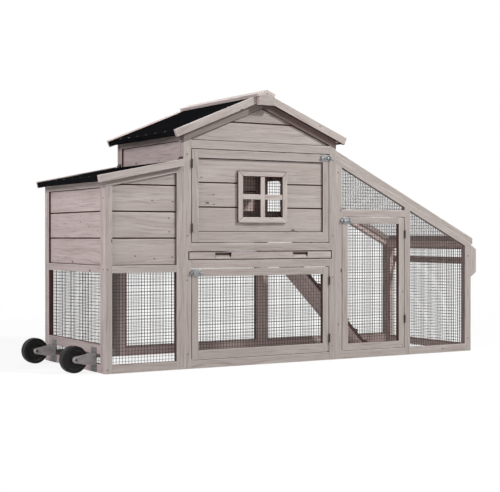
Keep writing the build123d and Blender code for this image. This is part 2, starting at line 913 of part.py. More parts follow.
def hinge_z(x_post, side, z_middle, y_front=0.0):
    """Door hinge on an upright: fixed leaf with pin, moving leaf; side is 1 where the door lies right."""
    x_axis = x_post + side * door_gap / 2
    y_axis = y_front - knuckle_radius - knuckle_gap
    z0 = z_middle - hinge_height / 2
    third = hinge_height / 3

    def leaf(offset):
        x0, x1 = sorted((x_post + side * offset, x_post + side * (offset + leaf_thick)))
        return x0, x1

    def neck(x0, x1, low, high):
        return block(x0, x1, y_axis + knuckle_neck, y_front, low, high)

    def barrel(low, high, radius):
        return rod("z", (x_axis, y_axis, low), (x_axis, y_axis, high), radius)

    x0, x1 = leaf(0)
    fixed = block(x0, x1, y_front, y_front + leaf_width, z0, z0 + hinge_height)
    fixed += barrel(z0, z0 + hinge_height, pin_radius)
    for low in (z0, z0 + 2 * third):
        fixed += barrel(low, low + third, knuckle_radius)
        fixed += neck(x0, x1, low, low + third)
    x0, x1 = leaf(door_gap - leaf_thick)
    low = z0 + third + knuckle_gap
    high = z0 + 2 * third - knuckle_gap
    moving = block(x0, x1, y_front, y_front + leaf_width, z0, z0 + hinge_height)
    moving += barrel(low, high, knuckle_radius)
    moving += neck(x0, x1, low, high)
    moving -= barrel(low, high, pin_radius + pin_clearance)
    return fixed, moving


x_lid_axis = x_house - knuckle_radius - knuckle_gap
z_lid_axis = lid_under(x_lid_axis) + (lid_thick + felt_thick) / cos_lid + knuckle_radius + knuckle_gap


def lid_hinge(y_middle):
    """Hinge of the nest lid: leaf and pin on the house wall, moving leaf on the lid's felt."""
    y0 = y_middle - hinge_height / 2
    third = hinge_height / 3

    def barrel(low, high, radius):
        return rod("y", (x_lid_axis, low, z_lid_axis), (x_lid_axis, high, z_lid_axis), radius)

    def wall_leaf(low, high, z_low):
        z_top = z_lid_axis + knuckle_radius + lid_wall_leaf
        return block(x_house - leaf_thick, x_house, low, high, z_low, z_top)

    top = lid_thick + felt_thick
    d_near = x_house - x_lid_axis - top * sin_lid
    d_far = d_near + lid_leaf

    def lid_leaf_at(low, high, d0):
        outline = [lid_point(d_far, top), lid_point(d0, top)]
        outline += [lid_point(d0, top + leaf_thick), lid_point(d_far, top + leaf_thick)]
        return prism_y(outline, low, high)

    z_clear = z_lid_axis + knuckle_radius + knuckle_gap
    fixed = wall_leaf(y0, y0 + hinge_height, z_clear) + barrel(y0, y0 + hinge_height, pin_radius)
    for low in (y0, y0 + 2 * third):
        fixed += barrel(low, low + third, knuckle_radius)
        fixed += wall_leaf(low, low + third, z_lid_axis)
        fixed += block(x_lid_axis + knuckle_neck, x_house, low, low + third,
                       z_lid_axis, z_lid_axis + leaf_thick)
    low = y0 + third + knuckle_gap
    high = y0 + 2 * third - knuckle_gap
    d_clear = d_near + knuckle_radius + knuckle_gap
    moving = lid_leaf_at(y0, y0 + hinge_height, d_clear) + lid_leaf_at(low, high, d_near)
    moving += barrel(low, high, knuckle_radius)
    riser = [
        (x_lid_axis - leaf_thick, z_lid_axis - knuckle_neck),
        (x_lid_axis - leaf_thick, z_lid_axis - knuckle_radius - knuckle_gap),
        (x_lid_axis, z_lid_axis - knuckle_radius - knuckle_gap),
        (x_lid_axis, z_lid_axis - knuckle_neck),
    ]
    moving += prism_y(riser, low, high)
    moving -= barrel(low, high, pin_radius + pin_clearance)
    return fixed, moving


y_bolt = -bolt_plate_thick - bolt_rod_lift - bolt_radius


def strap(x0, x1, z, bore):
    """Bridge that holds a bolt rod off a face, with a bore for it."""
    half = bolt_strap_height / 2
    body = block(x0, x1, y_bolt - bolt_radius - bolt_strap_wall, -bolt_plate_thick, z - half, z + half)
    return body - rod("x", (x0, y_bolt, z), (x1, y_bolt, z), bore)


def staple(x0, x1, z):
    """Square staple of a keeper: two legs on its plate and the bridge between them, open for the rod."""
    opening = bolt_radius + bolt_keeper_clearance
    half = bolt_strap_height / 2
    y_front = y_bolt - bolt_radius - bolt_strap_wall
    y_inner = y_bolt - opening
    return [
        block(x0, x1, y_inner, -bolt_plate_thick, z - half, z - opening),
        block(x0, x1, y_inner, -bolt_plate_thick, z + opening, z + half),
        block(x0, x1, y_front, y_inner, z - half, z + half),
    ]


def barrel_bolt(x_edge, side, z):
    """Barrel bolt near a door's edge: carrier, rod drawn back, keeper solids; side is its throw along X."""
    def span(a, b):
        return sorted((x_edge + side * a, x_edge + side * b))

    half = bolt_plate_height / 2
    rear = -bolt_plate_length - bolt_edge_gap
    rear_strap = rear + bolt_strap_inset
    front_strap = -bolt_edge_gap - bolt_strap_inset - bolt_strap
    x0, x1 = span(rear, -bolt_edge_gap)
    carrier = block(x0, x1, -bolt_plate_thick, 0, z - half, z + half)
    for a in (rear_strap, front_strap):
        x0, x1 = span(a, a + bolt_strap)
        carrier += strap(x0, x1, z, bolt_radius + bolt_clearance)
    x0, x1 = span(rear - bolt_strap_inset, -bolt_edge_gap)
    knob_rest = (rear_strap + bolt_strap + front_strap - bolt_travel) / 2
    knob_x = x_edge + side * knob_rest
    rod_body = rod("x", (x0, y_bolt, z), (x1, y_bolt, z), bolt_radius)
    rod_body += rod("y", (knob_x, y_bolt - bolt_knob_reach, z), (knob_x, y_bolt, z), bolt_knob_radius)
    near = door_gap + bolt_strap_inset
    x0, x1 = span(door_gap, near + bolt_strap + bolt_strap_inset)
    half = bolt_keeper_height / 2
    keeper = [block(x0, x1, -bolt_plate_thick, 0, z - half, z + half)]
    x0, x1 = span(near, near + bolt_strap)
    keeper.extend(staple(x0, x1, z))
    return carrier, rod_body, keeper


def door_frame(x0, x1, z0, z1, top_rail, bottom_rail):
    """Door frame inside an opening, a gap smaller on every side: two stiles and two rails."""
    a = x0 + door_gap
    b = x1 - door_gap
    low = z0 + door_gap
    high = z1 - door_gap
    return [
        block(a, a + door_stile, 0, door_thick, low, high),
        block(b - door_stile, b, 0, door_thick, low, high),
        block(a + door_stile, b - door_stile, 0, door_thick, low, low + bottom_rail),
        block(a + door_stile, b - door_stile, 0, door_thick, high - top_rail, high),
    ]


def door_field(x0, x1, z0, z1, top_rail, bottom_rail, lap=0.0):
    """Rectangle inside a door's frame, lapped over it by an amount."""
    a = x0 + door_gap + door_stile - lap
    b = x1 - door_gap - door_stile + lap
    return rectangle(a, b, z0 + door_gap + bottom_rail - lap, z1 - door_gap - top_rail + lap)


upper_door = (x_door_left, x_door_right, z_upper, z_upper_top, upper_top_rail, upper_bottom_rail)
lower_door = (x_door_left, x_door_right, ground_rail, z_lower, lower_top_rail, lower_bottom_rail)
run_door = (x_run_door, x_run_post, ground_rail, z_transom, run_top_rail, run_bottom_rail)

z_window = (z_upper + z_upper_top) / 2
window_half_x = window_width / 2
window_half_z = window_height / 2


def upper_door_boards():
    """Horizontal boards of the upper door, cut out for the window."""
    field = door_field(*upper_door)
    hole = block(x_mid - window_half_x, x_mid + window_half_x, 0, door_thick,
                 z_window - window_half_z, z_window + window_half_z)
    solids = []
    for row in boards(field, upper_board, field[0][1]):
        cut = prism_y(row, board_inset, board_inset + board_thick) - hole
        solids.extend(cut.solids())
    return solids


def window_frame():
    """Mitred trim round the window opening and the cross bars inside it."""
    wide = window_half_x + window_trim
    tall = window_half_z + window_trim
    inner = [(-window_half_x, -window_half_z), (window_half_x, -window_half_z),
             (window_half_x, window_half_z), (-window_half_x, window_half_z)]
    outer = [(-wide, -tall), (wide, -tall), (wide, tall), (-wide, tall)]
    solids = []
    for i in range(4):
        j = (i + 1) % 4
        corners = [outer[i], outer[j], inner[j], inner[i]]
        outline = [(x_mid + x, z_window + z) for x, z in corners]
        solids.append(prism_y(outline, -window_trim_proud, board_inset))
    half = muntin / 2
    y0 = -muntin_proud
    y1 = y0 + muntin_thick
    solids.append(block(x_mid - half, x_mid + half, y0, y1,
                        z_window - window_half_z, z_window + window_half_z))
    for x0, x1 in ((x_mid - window_half_x, x_mid - half), (x_mid + half, x_mid + window_half_x)):
        solids.append(block(x0, x1, y0, y1, z_window - half, z_window + half))
    return solids


def window_net():
    """Net behind the window."""
    x0 = x_mid - window_half_x - net_lap
    x1 = x_mid + window_half_x + net_lap
    region = rectangle(x0, x1, z_window - window_half_z - net_lap, z_window + window_half_z + net_lap)
    return [net_y(region, board_inset + board_thick + net_seat, 1)]


def door_net(door):
    """Net stapled to the back of a door's frame."""
    return [net_y(door_field(*door, lap=net_lap), door_thick + net_seat, 1)]


def tray_front():
    """Wooden front of the droppings tray with two finger recesses."""
    half = tray_front_width / 2
    body = block(x_mid - half, x_mid + half, 0, frame_thick, z_tray + tray_gap, z_tray_top - tray_gap)
    z0 = (z_tray + z_tray_top - finger_height) / 2
    for x in (x_mid - finger_spacing / 2, x_mid + finger_spacing / 2):
        x0 = x - finger_width / 2
        body -= block(x0, x0 + finger_width, 0, finger_depth, z0, z0 + finger_height)
    return [body]


def tray_pan():
    """Sheet pan behind the tray front."""
    half = tray_front_width / 2 - tray_pan_margin
    z0 = z_tray + tray_seat
    z1 = z0 + tray_pan_height
    y1 = y_back - tray_back_gap
    body = block(x_mid - half, x_mid + half, frame_thick, y1, z0, z1)
    inside = block(x_mid - half + tray_sheet, x_mid + half - tray_sheet, frame_thick + tray_sheet,
                   y1 - tray_sheet, z0 + tray_sheet, z1)
    return [body - inside]


def tray_runners():
    """Battens on the house's side walls that carry the tray."""
    return [
        block(x_wall_left, x_wall_left + runner_width, frame_thick, y_back, z_tray - runner_height, z_tray),
        block(x_wall_right - runner_width, x_wall_right, frame_thick, y_back, z_tray - runner_height, z_tray),
    ]


def frame_screws():
    """Screw heads on the posts and stiles of the front and back."""
    levels = (
        ground_rail + screw_above_ground_rail,
        z_lower - screw_below_tray_rails,
        z_upper + screw_above_tray_rails,
        z_upper_top - screw_below_header,
    )
    spots = []
    for x in (x_house + post_width / 2, x_run - post_width / 2):
        spots.extend((x, z) for z in levels)
    spots.append((stile_width / 3, ground_rail / 2))
    spots.append((stile_width / 3, nest_rail_bottom + nest_rail / 2))
    spots.append((x_end - post_width / 2, ground_rail + screw_above_ground_rail))
    spots.append((x_end - post_width / 2, run_end_height - slope_rail - screw_above_tray_rails))
    heads = []
    for x, z in spots:
        heads.append(rod("y", (x, -screw_head, z), (x, 0, z), screw_radius))
        heads.append(rod("y", (x, depth, z), (x, depth + screw_head, z), screw_radius))
    for y in (frame_thick * 0.7, depth - frame_thick * 0.7):
        for z in (nest_rail_bottom + nest_rail / 2, z_nest_top - screw_below_nest_top):
            heads.append(rod("x", (-screw_head, y, z), (0, y, z), screw_radius))
    return heads


fixed_leaves = []
moving_leaves = {}
hinge_sets = {
    "upper_door": (x_door_left, 1, (z_upper + hinge_inset, z_upper_top - hinge_inset)),
    "lower_door": (x_door_right, -1, (ground_rail + hinge_inset, z_lower - hinge_inset)),
    "run_door": (x_run_post, -1, (ground_rail + run_hinge_bottom, z_transom - run_hinge_top)),
}
for door_name, (x_post, side, heights) in hinge_sets.items():
    pairs = [hinge_z(x_post, side, z) for z in heights]
    fixed_leaves.extend(fixed for fixed, moving in pairs)
    moving_leaves[door_name] = [moving for fixed, moving in pairs]
lid_pairs = [lid_hinge(y) for y in (lid_hinge_inset, depth - lid_hinge_inset)]
fixed_leaves.extend(fixed for fixed, moving in lid_pairs)

bolt_sets = {
    "upper_door": barrel_bolt(x_door_right - door_gap, 1, z_upper_top - door_gap - bolt_drop),
    "lower_door": barrel_bolt(x_door_left + door_gap, -1, z_lower - door_gap - bolt_drop),
    "run_door": barrel_bolt(x_run_door + door_gap, -1, z_transom - door_gap - bolt_drop),
}

lid_end = nest_width + lid_overhang
lid_top = lid_thick + felt_thick
y_lid = (-lid_side_gap, depth + lid_side_gap)
fascia_top = lid_top + fascia_rise
lid_panels = [lid_board(lid_wall_gap, lid_end, 0, lid_thick, *y_lid)]
for y0, y1 in ((y_lid[0] - fascia_thick, y_lid[0]), (y_lid[1], y_lid[1] + fascia_thick)):
    lid_panels.append(lid_board(fascia_end_gap, lid_end, fascia_top - fascia_width, fascia_top, y0, y1))
lid_felt = [lid_board(lid_wall_gap, lid_end + felt_thick, lid_thick, lid_top, *y_lid)]
lid_flap = [lid_point(lid_end + felt_thick, -felt_drip), lid_point(lid_end, -felt_drip)]
lid_flap += [lid_point(lid_end, lid_thick), lid_point(lid_end + felt_thick, lid_thick)]
lid_felt.append(prism_y(lid_flap, *y_lid))

nest_floor = block(frame_thick, x_house, frame_thick, y_back, z_nest_floor - nest_floor_thick, z_nest_floor)
y_divider = y_jamb + side_stile / 2
nest_divider = block(frame_thick, x_house, y_divider - divider_thick / 2, y_divider + divider_thick / 2,
                     z_nest_floor, z_nest_floor + divider_height)
perch = block(x_wall_left, x_wall_right, y_jamb, y_pop, z_perch_top - perch_height, z_perch_top)
house_back_rails = ((0, back_ground_rail), (z_lower, z_tray))

parts = {
    "nest_front_frame": nest_frame(0, frame_thick, ground_rail),
    "nest_back_frame": nest_frame(y_back, depth, back_ground_rail),
    "nest_side_frame": nest_side_frame(),
    "nest_boards": nest_boards(),
    "nest_floor": [nest_floor],
    "nest_divider": [nest_divider],
    "nest_nets": nest_nets(),
    "house_front_frame": house_front_frame(),
    "house_back_frame": house_frame(y_back, depth, house_back_rails),
    "house_left_wall_frame": house_left_wall(),
    "house_right_wall_frame": house_right_wall(),
    "house_gable_boards": gable_boards(),
    "house_back_boards": back_boards(),
    "house_side_boards": house_side_boards(),
    "house_back_net": house_back_net(),
    "tray_runners": tray_runners(),
    "perch": [perch],
    "roof_boards": [slope_board(side, roof_end, gable_rail, felt_bottom, 0, depth) for side in (-1, 1)],
    "roof_felt": roof_felt(),
    "barge_boards": barge_boards(),
    "ridge_cap": ridge_cap(),
    "ridge_blocks": ridge_blocks(),
    "run_front_frame": run_frame(0, frame_thick, ground_rail, True),
    "run_back_frame": run_frame(y_back, depth, back_ground_rail, False),
    "run_end_frame": run_end_frame(),
    "run_roof_frame": run_roof_frame(),
    "run_wall_nets": run_wall_nets(),
    "run_roof_net": run_roof_net(),
    "handle_cheeks": handle_cheeks(),
    "handle_bar": handle_bar(),
    "ramp_board": ramp_board(),
    "ramp_cleats": ramp_cleats(),
    "castor_brackets": [castor_bracket(y) for y in y_castors],
    "castor_screws": castor_screws(),
    "wheel_axles": [wheel_axle(y) for y in y_castors],
    "frame_screws": frame_screws(),
    "bolt_keepers": [solid for carrier, bolt, keeper in bolt_sets.values() for solid in keeper],
    "hinge_fixed_leaves": fixed_leaves,
    "upper_door_frame": door_frame(*upper_door),
    "upper_door_boards": upper_door_boards(),
    "window_frame": window_frame(),
    "window_net": window_net(),
    "lower_door_frame": door_frame(*lower_door),
    "lower_door_net": door_net(lower_door),
    "run_door_frame": door_frame(*run_door),
    "run_door_net": door_net(run_door),
    "tray_front": tray_front(),
    "tray_pan": tray_pan(),
    "front_wheel": [wheel(y_castors[0])],
    "rear_wheel": [wheel(y_castors[1])],
    "nest_lid_boards": lid_panels,
    "nest_lid_felt": lid_felt,
    "nest_lid_hinges": [moving for fixed, moving in lid_pairs],
}
for door_name, (carrier, bolt, keeper) in bolt_sets.items():
    parts[door_name + "_fittings"] = [*moving_leaves[door_name], carrier]
    parts[door_name.replace("door", "bolt")] = [bolt]

os.makedirs("parts", exist_ok=True)
for name, solids in parts.items():
    placed = [origin_shift * solid for solid in solids]
    export_step(Compound(children=placed), f"parts/{name}.step")
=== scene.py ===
"""Chicken coop on wheels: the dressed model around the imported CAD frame, with floor, light and camera."""

import json
import math
import random
from collections import namedtuple

import bmesh
import bpy
import numpy as np
from mathutils import Matrix, Vector
from mathutils.bvhtree import BVHTree

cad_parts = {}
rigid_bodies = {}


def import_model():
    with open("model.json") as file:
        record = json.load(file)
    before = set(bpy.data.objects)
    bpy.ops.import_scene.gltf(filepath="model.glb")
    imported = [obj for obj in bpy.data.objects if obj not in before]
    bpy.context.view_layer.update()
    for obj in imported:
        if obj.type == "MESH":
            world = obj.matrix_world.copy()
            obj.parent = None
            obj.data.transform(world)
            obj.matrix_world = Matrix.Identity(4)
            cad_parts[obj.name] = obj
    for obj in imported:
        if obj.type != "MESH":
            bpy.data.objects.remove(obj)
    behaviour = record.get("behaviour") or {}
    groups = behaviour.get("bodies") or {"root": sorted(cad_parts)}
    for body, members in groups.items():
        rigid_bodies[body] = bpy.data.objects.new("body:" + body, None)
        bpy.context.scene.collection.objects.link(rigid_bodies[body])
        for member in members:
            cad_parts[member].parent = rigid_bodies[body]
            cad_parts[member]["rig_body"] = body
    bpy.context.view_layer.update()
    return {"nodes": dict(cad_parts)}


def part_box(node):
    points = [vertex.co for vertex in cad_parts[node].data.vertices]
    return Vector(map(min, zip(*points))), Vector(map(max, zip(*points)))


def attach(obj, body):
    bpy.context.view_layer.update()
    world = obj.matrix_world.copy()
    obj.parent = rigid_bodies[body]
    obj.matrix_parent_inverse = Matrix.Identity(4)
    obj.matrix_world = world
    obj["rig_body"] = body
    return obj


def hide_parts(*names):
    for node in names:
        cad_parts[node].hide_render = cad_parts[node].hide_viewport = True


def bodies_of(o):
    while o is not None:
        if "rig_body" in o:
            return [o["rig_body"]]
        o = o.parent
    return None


for leftover in list(bpy.data.objects):
    bpy.data.objects.remove(leftover)
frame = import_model()

# All lengths are in metres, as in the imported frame.

# Timber: edges, grooves between boards, gaps round the tray's front and the slope of its finger pulls
TIMBER_BEVEL = 0.0017
GROOVE = 0.0017
TONGUE = 0.003
TONGUE_THINNING = 0.7
TRAY_SIDE_GAP = 0.0013
TRAY_TOP_GAP = 0.7 * TRAY_SIDE_GAP
PULL_SLOPE = 0.62
PULL_UNDERCUT = 0.002
TOUCHING = 1e-5
CLEAR = 1e-4

# How faces are told apart: reaches of rays, share of free rays, fold angles in radians and cosines
OUTSIDE_REACH = 2.2
EAVES_REACH = 0.036
OPEN_SHARE = 0.12
SAMPLE_SHARES = (0.85, 0.45)
# Slant of the rays that look for an overhang; under one, the stain is darkened as a painted eaves shadow
EAVES_RAY_OUT = 0.6
EAVES_RAY_UP = 0.8
TRUE_EDGE = 0.3
ARRIS = 0.75
BROAD_FACE = 0.7
UNDERSIDE = -0.5
SAME_FACE = 0.999
BESIDE = 0.3

# Tone, knots and grain of single members
# Boarding takes a higher tone than frames, so that recessed boards match the frames: a painted lift against
# the shade of their recesses
BOARD_TONE = 0.45
TONE_SPREAD = 0.55
BOARD_KNOTS = 0.75
FRAME_KNOTS = 0.2
GRAIN_SPREAD = 40

# Nets: pitch of the mesh and radii of its wires
MESH_PITCH = 0.0127
UPRIGHT_WIRE = 0.00094
LEVEL_WIRE = 0.00076
WIRE_SIDES = 6

# Metal and felt: eased edges, the fold in degrees that counts as sharp, and the felt's broad upper faces
SHARP_FOLD = 40
UNEASED = 0.9995
FELT_UPWARD = 0.5
FELT_BROAD = 0.05
METAL_BEVEL = 0.0004
SHEET_BEVEL = 0.0003
BRACKET_BEVEL = 0.0006
PAN_BEVEL = 0.0005
FELT_BEVEL = 0.0007

# Door bolts and their keepers
BOLT_PLATE = 0.0015
PLATE_CORNER = 0.0022
BOLT_ROD = 0.003
BOLT_STRAP = 0.006
BOLT_STRAP_INSET = 0.0015
STRAP_WALL = 0.0019
CARRIER_PLAY = 0.0001
KEEPER_PLAY = 0.0005
KEEPER_SOLIDS = 4
LEAF_WIDTH = 0.03
CARRIER_SCREW = 0.0023
CARRIER_SCREW_INSET = 0.0048
CARRIER_SCREW_RISE = 0.0098
KEEPER_PIN = 0.0016
KEEPER_PIN_RISE = 0.0075

# Castors: axle bolts, brackets and wheels
AXLE_HEAD = 0.005
AXLE_HEAD_EASE = 0.0002
AXLE_HEAD_CHAMFER = 0.0014
AXLE_RADIUS = 0.004
AXLE_LAP = 0.0005
AXLE_CHAMFER = 0.0008
AXLE_SOCKET = 0.0046
SOCKET_TAPER = 0.0003
SOCKET_DEPTH = 0.0036
AXLE_NUT = 0.0064
NUT_CHAMFER = 0.001
NUT_SHOULDER = 0.0018
NUT_INSET = 0.0007
PLATE_REACH = 0.004
# Level of the brackets' plates: their darker tone with painted shade under the arms
PLATE_TONE_AND_SHADE = 0.35
TREAD_HALF = 0.017
TREAD_GROOVE = 0.0012
TREAD_GROOVE_PITCH = 0.0085
WHEEL_STEPS = 72

# Felt nails, spaced along the open edges; a head's outline is (radius, height) points
NAIL_PITCH = 0.075
NAIL_INSET = 0.014
NAIL_HEAD = ((0.0034, -0.0004), (0.0034, 0.0003), (0.0028, 0.0007))

# Studio: the camera was solved from the photograph's own edges; the floor shows white past its fade
CAMERA_PLACE = (-2.5801, -4.2204, 0.4993)
CAMERA_TILT = 89.545
CAMERA_TURN = -31.14
CAMERA_LENS = 85.0
CAMERA_SENSOR = 36.0
LAMP_TARGET = (0, 0, 0.4)
WORLD_FILL = 0.3
FLOOR_HALF = 30
FLOOR_GLOW = 0.84
FLOOR_FADE = (1.2, 3.6)
FLOOR_BOUNCE = 0.65

WOOD_NODES = [node for node, obj in frame["nodes"].items() if obj.data.materials[0].name.startswith("wood")]
NET_NODES = [node for node in frame["nodes"] if "net" in node.split("_") or "nets" in node.split("_")]
FELT_NODES = ("roof_felt", "nest_lid_felt")
BOARD_NODES = (
    "nest_boards", "house_gable_boards", "house_back_boards", "house_side_boards", "upper_door_boards",
)

# Finish of a timber node: whether it is boarding, the levels of its inner faces and of its reveals (0 brown,
# 1 grey stain, 2 raw wood made light as painted light), whether narrow edges take the stain, how much paler
# it is, and how much painted eaves shadow darkens it
Finish = namedtuple("Finish", "boarding inner reveal edges paler sheltered")
# Reveal levels above 1 lift the run's reveals toward the light raw wood: painted light where the lamps reach
# little
REVEAL = {"run_back_frame": 1.4, "run_end_frame": 1.7, "run_roof_frame": 1.7, "run_front_frame": 0.35}
# Paler members; for the house's back and side boards the lift is painted light for the dim inside
PALER = {
    "window_frame": 1.3, "ridge_cap": 1.4, "tray_front": 0.7,
    "house_back_boards": 0.8, "house_side_boards": 0.3,
}
# Share by which an overhang darkens a member's stain toward brown: a painted eaves shadow
EAVES_SHADE = {"house_front_frame": 0.8, "house_gable_boards": 0.4}
LEAST_EAVES_SHADE = 0.1
# On the window trim and the tray's front the narrow edges stay brown: painted shade that darkens their
# outlines
BROWN_EDGES = ("window_frame", "tray_front")
FINER_NETS = {"window_net": 0.65, "run_roof_net": 0.75}


def srgb(red, green, blue):
    """Linear colour from 8-bit display values."""
    values = []
    for value in (red, green, blue):
        share = value / 255
        values.append(share / 12.92 if share <= 0.04045 else ((share + 0.055) / 1.055) ** 2.4)
    return (*values, 1.0)


class Graph:
    """A material's node tree, with short calls for the nodes used here."""

    def __init__(self, name):
        self.material = bpy.data.materials.new(name)
        self.material.use_nodes = True
        self.tree = self.material.node_tree
        self.shader = self.tree.nodes["Principled BSDF"]

    def node(self, kind, **settings):
        node = self.tree.nodes.new(kind)
        for key, value in settings.items():
            setattr(node, key, value)
        return node

    def feed(self, socket, value):
        if isinstance(value, bpy.types.NodeSocket):
            self.tree.links.new(value, socket)
        else:
            socket.default_value = value

    def attribute(self, name, output="Fac"):
        return self.node("ShaderNodeAttribute", attribute_name=name).outputs[output]

    def position(self):
        return self.node("ShaderNodeTexCoord").outputs["Object"]

    def vector(self, operation, a, b):
        node = self.node("ShaderNodeVectorMath", operation=operation)
        self.feed(node.inputs[0], a)
        self.feed(node.inputs[1], b)
        return node.outputs["Vector"]

    def math(self, operation, a, b=0.0):
        node = self.node("ShaderNodeMath", operation=operation)
        self.feed(node.inputs[0], a)
        self.feed(node.inputs[1], b)
        return node.outputs["Value"]

    def noise(self, vector, scale=1.0, detail=3.0, roughness=0.55, distortion=0.0):
        node = self.node("ShaderNodeTexNoise")
        self.feed(node.inputs["Vector"], vector)
        node.inputs["Scale"].default_value = scale
        node.inputs["Detail"].default_value = detail
        node.inputs["Roughness"].default_value = roughness
        node.inputs["Distortion"].default_value = distortion
        return node.outputs["Fac"]

    def cells(self, vector, scale=1.0, dimensions="3D"):
        node = self.node("ShaderNodeTexVoronoi", voronoi_dimensions=dimensions)
        self.feed(node.inputs["Vector"], vector)
        node.inputs["Scale"].default_value = scale
        return node.outputs["Distance"], node.outputs["Color"]

    def span(self, value, low, high, out_low=0.0, out_high=1.0, smooth=True):
        kind = "SMOOTHSTEP" if smooth else "LINEAR"
        node = self.node("ShaderNodeMapRange", interpolation_type=kind)
        self.feed(node.inputs["Value"], value)
        ends = {"From Min": low, "From Max": high, "To Min": out_low, "To Max": out_high}
        for key, number in ends.items():
            node.inputs[key].default_value = number
        return node.outputs["Result"]

    def mix(self, factor, a, b, blend="MIX"):
        node = self.node("ShaderNodeMix", data_type="RGBA", blend_type=blend)
        self.feed(node.inputs["Factor"], factor)
        self.feed(node.inputs[6], a)
        self.feed(node.inputs[7], b)
        return node.outputs[2]

    def ramp(self, value, stops):
        node = self.node("ShaderNodeValToRGB")
        self.feed(node.inputs["Fac"], value)
        elements = node.color_ramp.elements
        while len(elements) < len(stops):
            elements.new(0.5)
        for element, (place, colour) in zip(elements, stops):
            element.position = place
            element.color = colour
        return node.outputs["Color"]

    def bump(self, height, distance, strength=1.0):
        node = self.node("ShaderNodeBump")
        self.feed(node.inputs["Height"], height)
        node.inputs["Distance"].default_value = distance
        node.inputs["Strength"].default_value = strength
        self.feed(self.shader.inputs["Normal"], node.outputs["Normal"])

    def finish(self, colour, roughness, metallic=0.0, specular=0.5):
        self.feed(self.shader.inputs["Base Color"], colour)
        self.feed(self.shader.inputs["Roughness"], roughness)
        self.shader.inputs["Metallic"].default_value = metallic
        self.shader.inputs["Specular IOR Level"].default_value = specular
        return self.material


def make_wood():
    """Softwood with a grey stain: streaks, knots, paler rounded edges (wear with a painted highlight), dark
    brown reveals that also carry painted shade, and raw inner wood made light as painted light.
    """
    g = Graph("stained_wood")
    grain = g.attribute("grain", "Vector")
    tone = g.attribute("tone")
    stained = g.attribute("stained")
    worn = g.attribute("worn")
    knotty = g.attribute("knotty")

    def knots(stretch, rarity, size):
        """Masks of the bent grain around knots, of the knots and of their hearts."""
        distance, colour = g.cells(g.vector("MULTIPLY", grain, stretch), dimensions="2D")
        split = g.node("ShaderNodeSeparateColor")
        g.feed(split.inputs["Color"], colour)
        chosen = g.math("MULTIPLY", g.math("GREATER_THAN", split.outputs["Red"], rarity), knotty)
        around = g.math("MULTIPLY", g.span(distance, 0.26, 0.02), chosen)
        body = g.math("MULTIPLY", g.span(distance, size, size * 0.72), chosen)
        core = g.math("MULTIPLY", g.span(distance, size * 0.7, size * 0.3), chosen)
        return around, body, core

    around, knot, heart = knots((5.5, 13.0, 0.0), 0.68, 0.055)
    pin = knots((13.0, 27.0, 0.0), 0.86, 0.07)[1]
    knot = g.math("MAXIMUM", knot, pin)

    def plain(stretch, **settings):
        """Noise drawn out along the grain."""
        return g.noise(g.vector("MULTIPLY", grain, stretch), **settings)

    wander = plain((3.2, 9, 9), detail=1)
    push = g.node("ShaderNodeCombineXYZ")
    around = g.math("MULTIPLY", around, 1.2)
    g.feed(push.inputs["Y"], g.math("ADD", around, g.math("MULTIPLY", wander, 4.0)))
    bend = push.outputs["Vector"]

    def bent(stretch, **settings):
        """Noise drawn out along the grain, which wanders and goes round the knots."""
        return g.noise(g.vector("ADD", g.vector("MULTIPLY", grain, stretch), bend), **settings)

    broad = bent((1.7, 52, 52), detail=4, distortion=0.4)
    fine = bent((8, 310, 310), detail=3)
    fleck = plain((26, 640, 640), detail=2)
    fibre = bent((30, 1500, 1500), detail=2)
    cloud = plain((4, 10, 10), detail=2)
    figure = bent((8, 130, 130), detail=3, distortion=0.3)

    streak = g.math("ADD", g.math("MULTIPLY", broad, 0.55), g.math("MULTIPLY", fine, 0.45))
    pale = g.ramp(streak, [(0.32, srgb(137, 127, 122)), (0.44, srgb(159, 150, 145)),
                           (0.56, srgb(170, 162, 158)), (0.70, srgb(184, 176, 172))])
    brown = g.ramp(streak, [(0.30, srgb(50, 31, 28)), (0.52, srgb(72, 46, 42)), (0.74, srgb(97, 68, 62))])
    # Light raw wood, made light as painted light for faces the lamps reach little
    raw_wood_painted_light = g.ramp(streak, [(0.32, srgb(188, 165, 160)), (0.52, srgb(217, 196, 191)),
                           (0.72, srgb(231, 213, 208))])
    pale = g.mix(g.span(cloud, 0.35, 0.7, 0.0, 0.45), pale, srgb(157, 147, 141))
    pale = g.mix(g.span(figure, 0.54, 0.68, 0.0, 0.5), pale, srgb(133, 121, 115))
    pale = g.mix(g.span(fleck, 0.60, 0.74, 0.0, 0.55), pale, srgb(126, 114, 108))
    pale = g.mix(g.span(fibre, 0.52, 0.68, 0.0, 0.3), pale, srgb(136, 125, 119))
    # Rounded edges turn paler: partly wear, partly a painted highlight
    pale = g.mix(g.math("MULTIPLY", worn, g.span(fine, 0.3, 0.7, 0.15, 0.75)), pale, srgb(206, 197, 192))
    # The finish level runs from brown through the grey stain to the light raw wood; it also carries painted
    # shade and painted light
    colour = g.mix(stained, brown, pale)
    colour = g.mix(g.math("SUBTRACT", stained, 1.0), colour, raw_wood_painted_light)
    colour = g.mix(g.math("MULTIPLY", knot, 0.8), colour, srgb(66, 50, 44))
    colour = g.mix(g.math("MULTIPLY", heart, 0.7), colour, srgb(104, 82, 71))
    shade = g.span(tone, 0.0, 3.0, 0.9, 1.38, smooth=False)
    colour = g.vector("SCALE", colour, (0, 0, 0))
    g.feed(colour.node.inputs["Scale"], shade)

    roughness = g.span(broad, 0.3, 0.7, 0.72, 0.56)
    height = g.math("ADD", streak, g.math("MULTIPLY", fibre, 0.25))
    height = g.math("ADD", height, g.math("MULTIPLY", knot, -0.3))
    g.bump(height, 0.0006, 0.55)
    return g.finish(colour, roughness, specular=0.32)


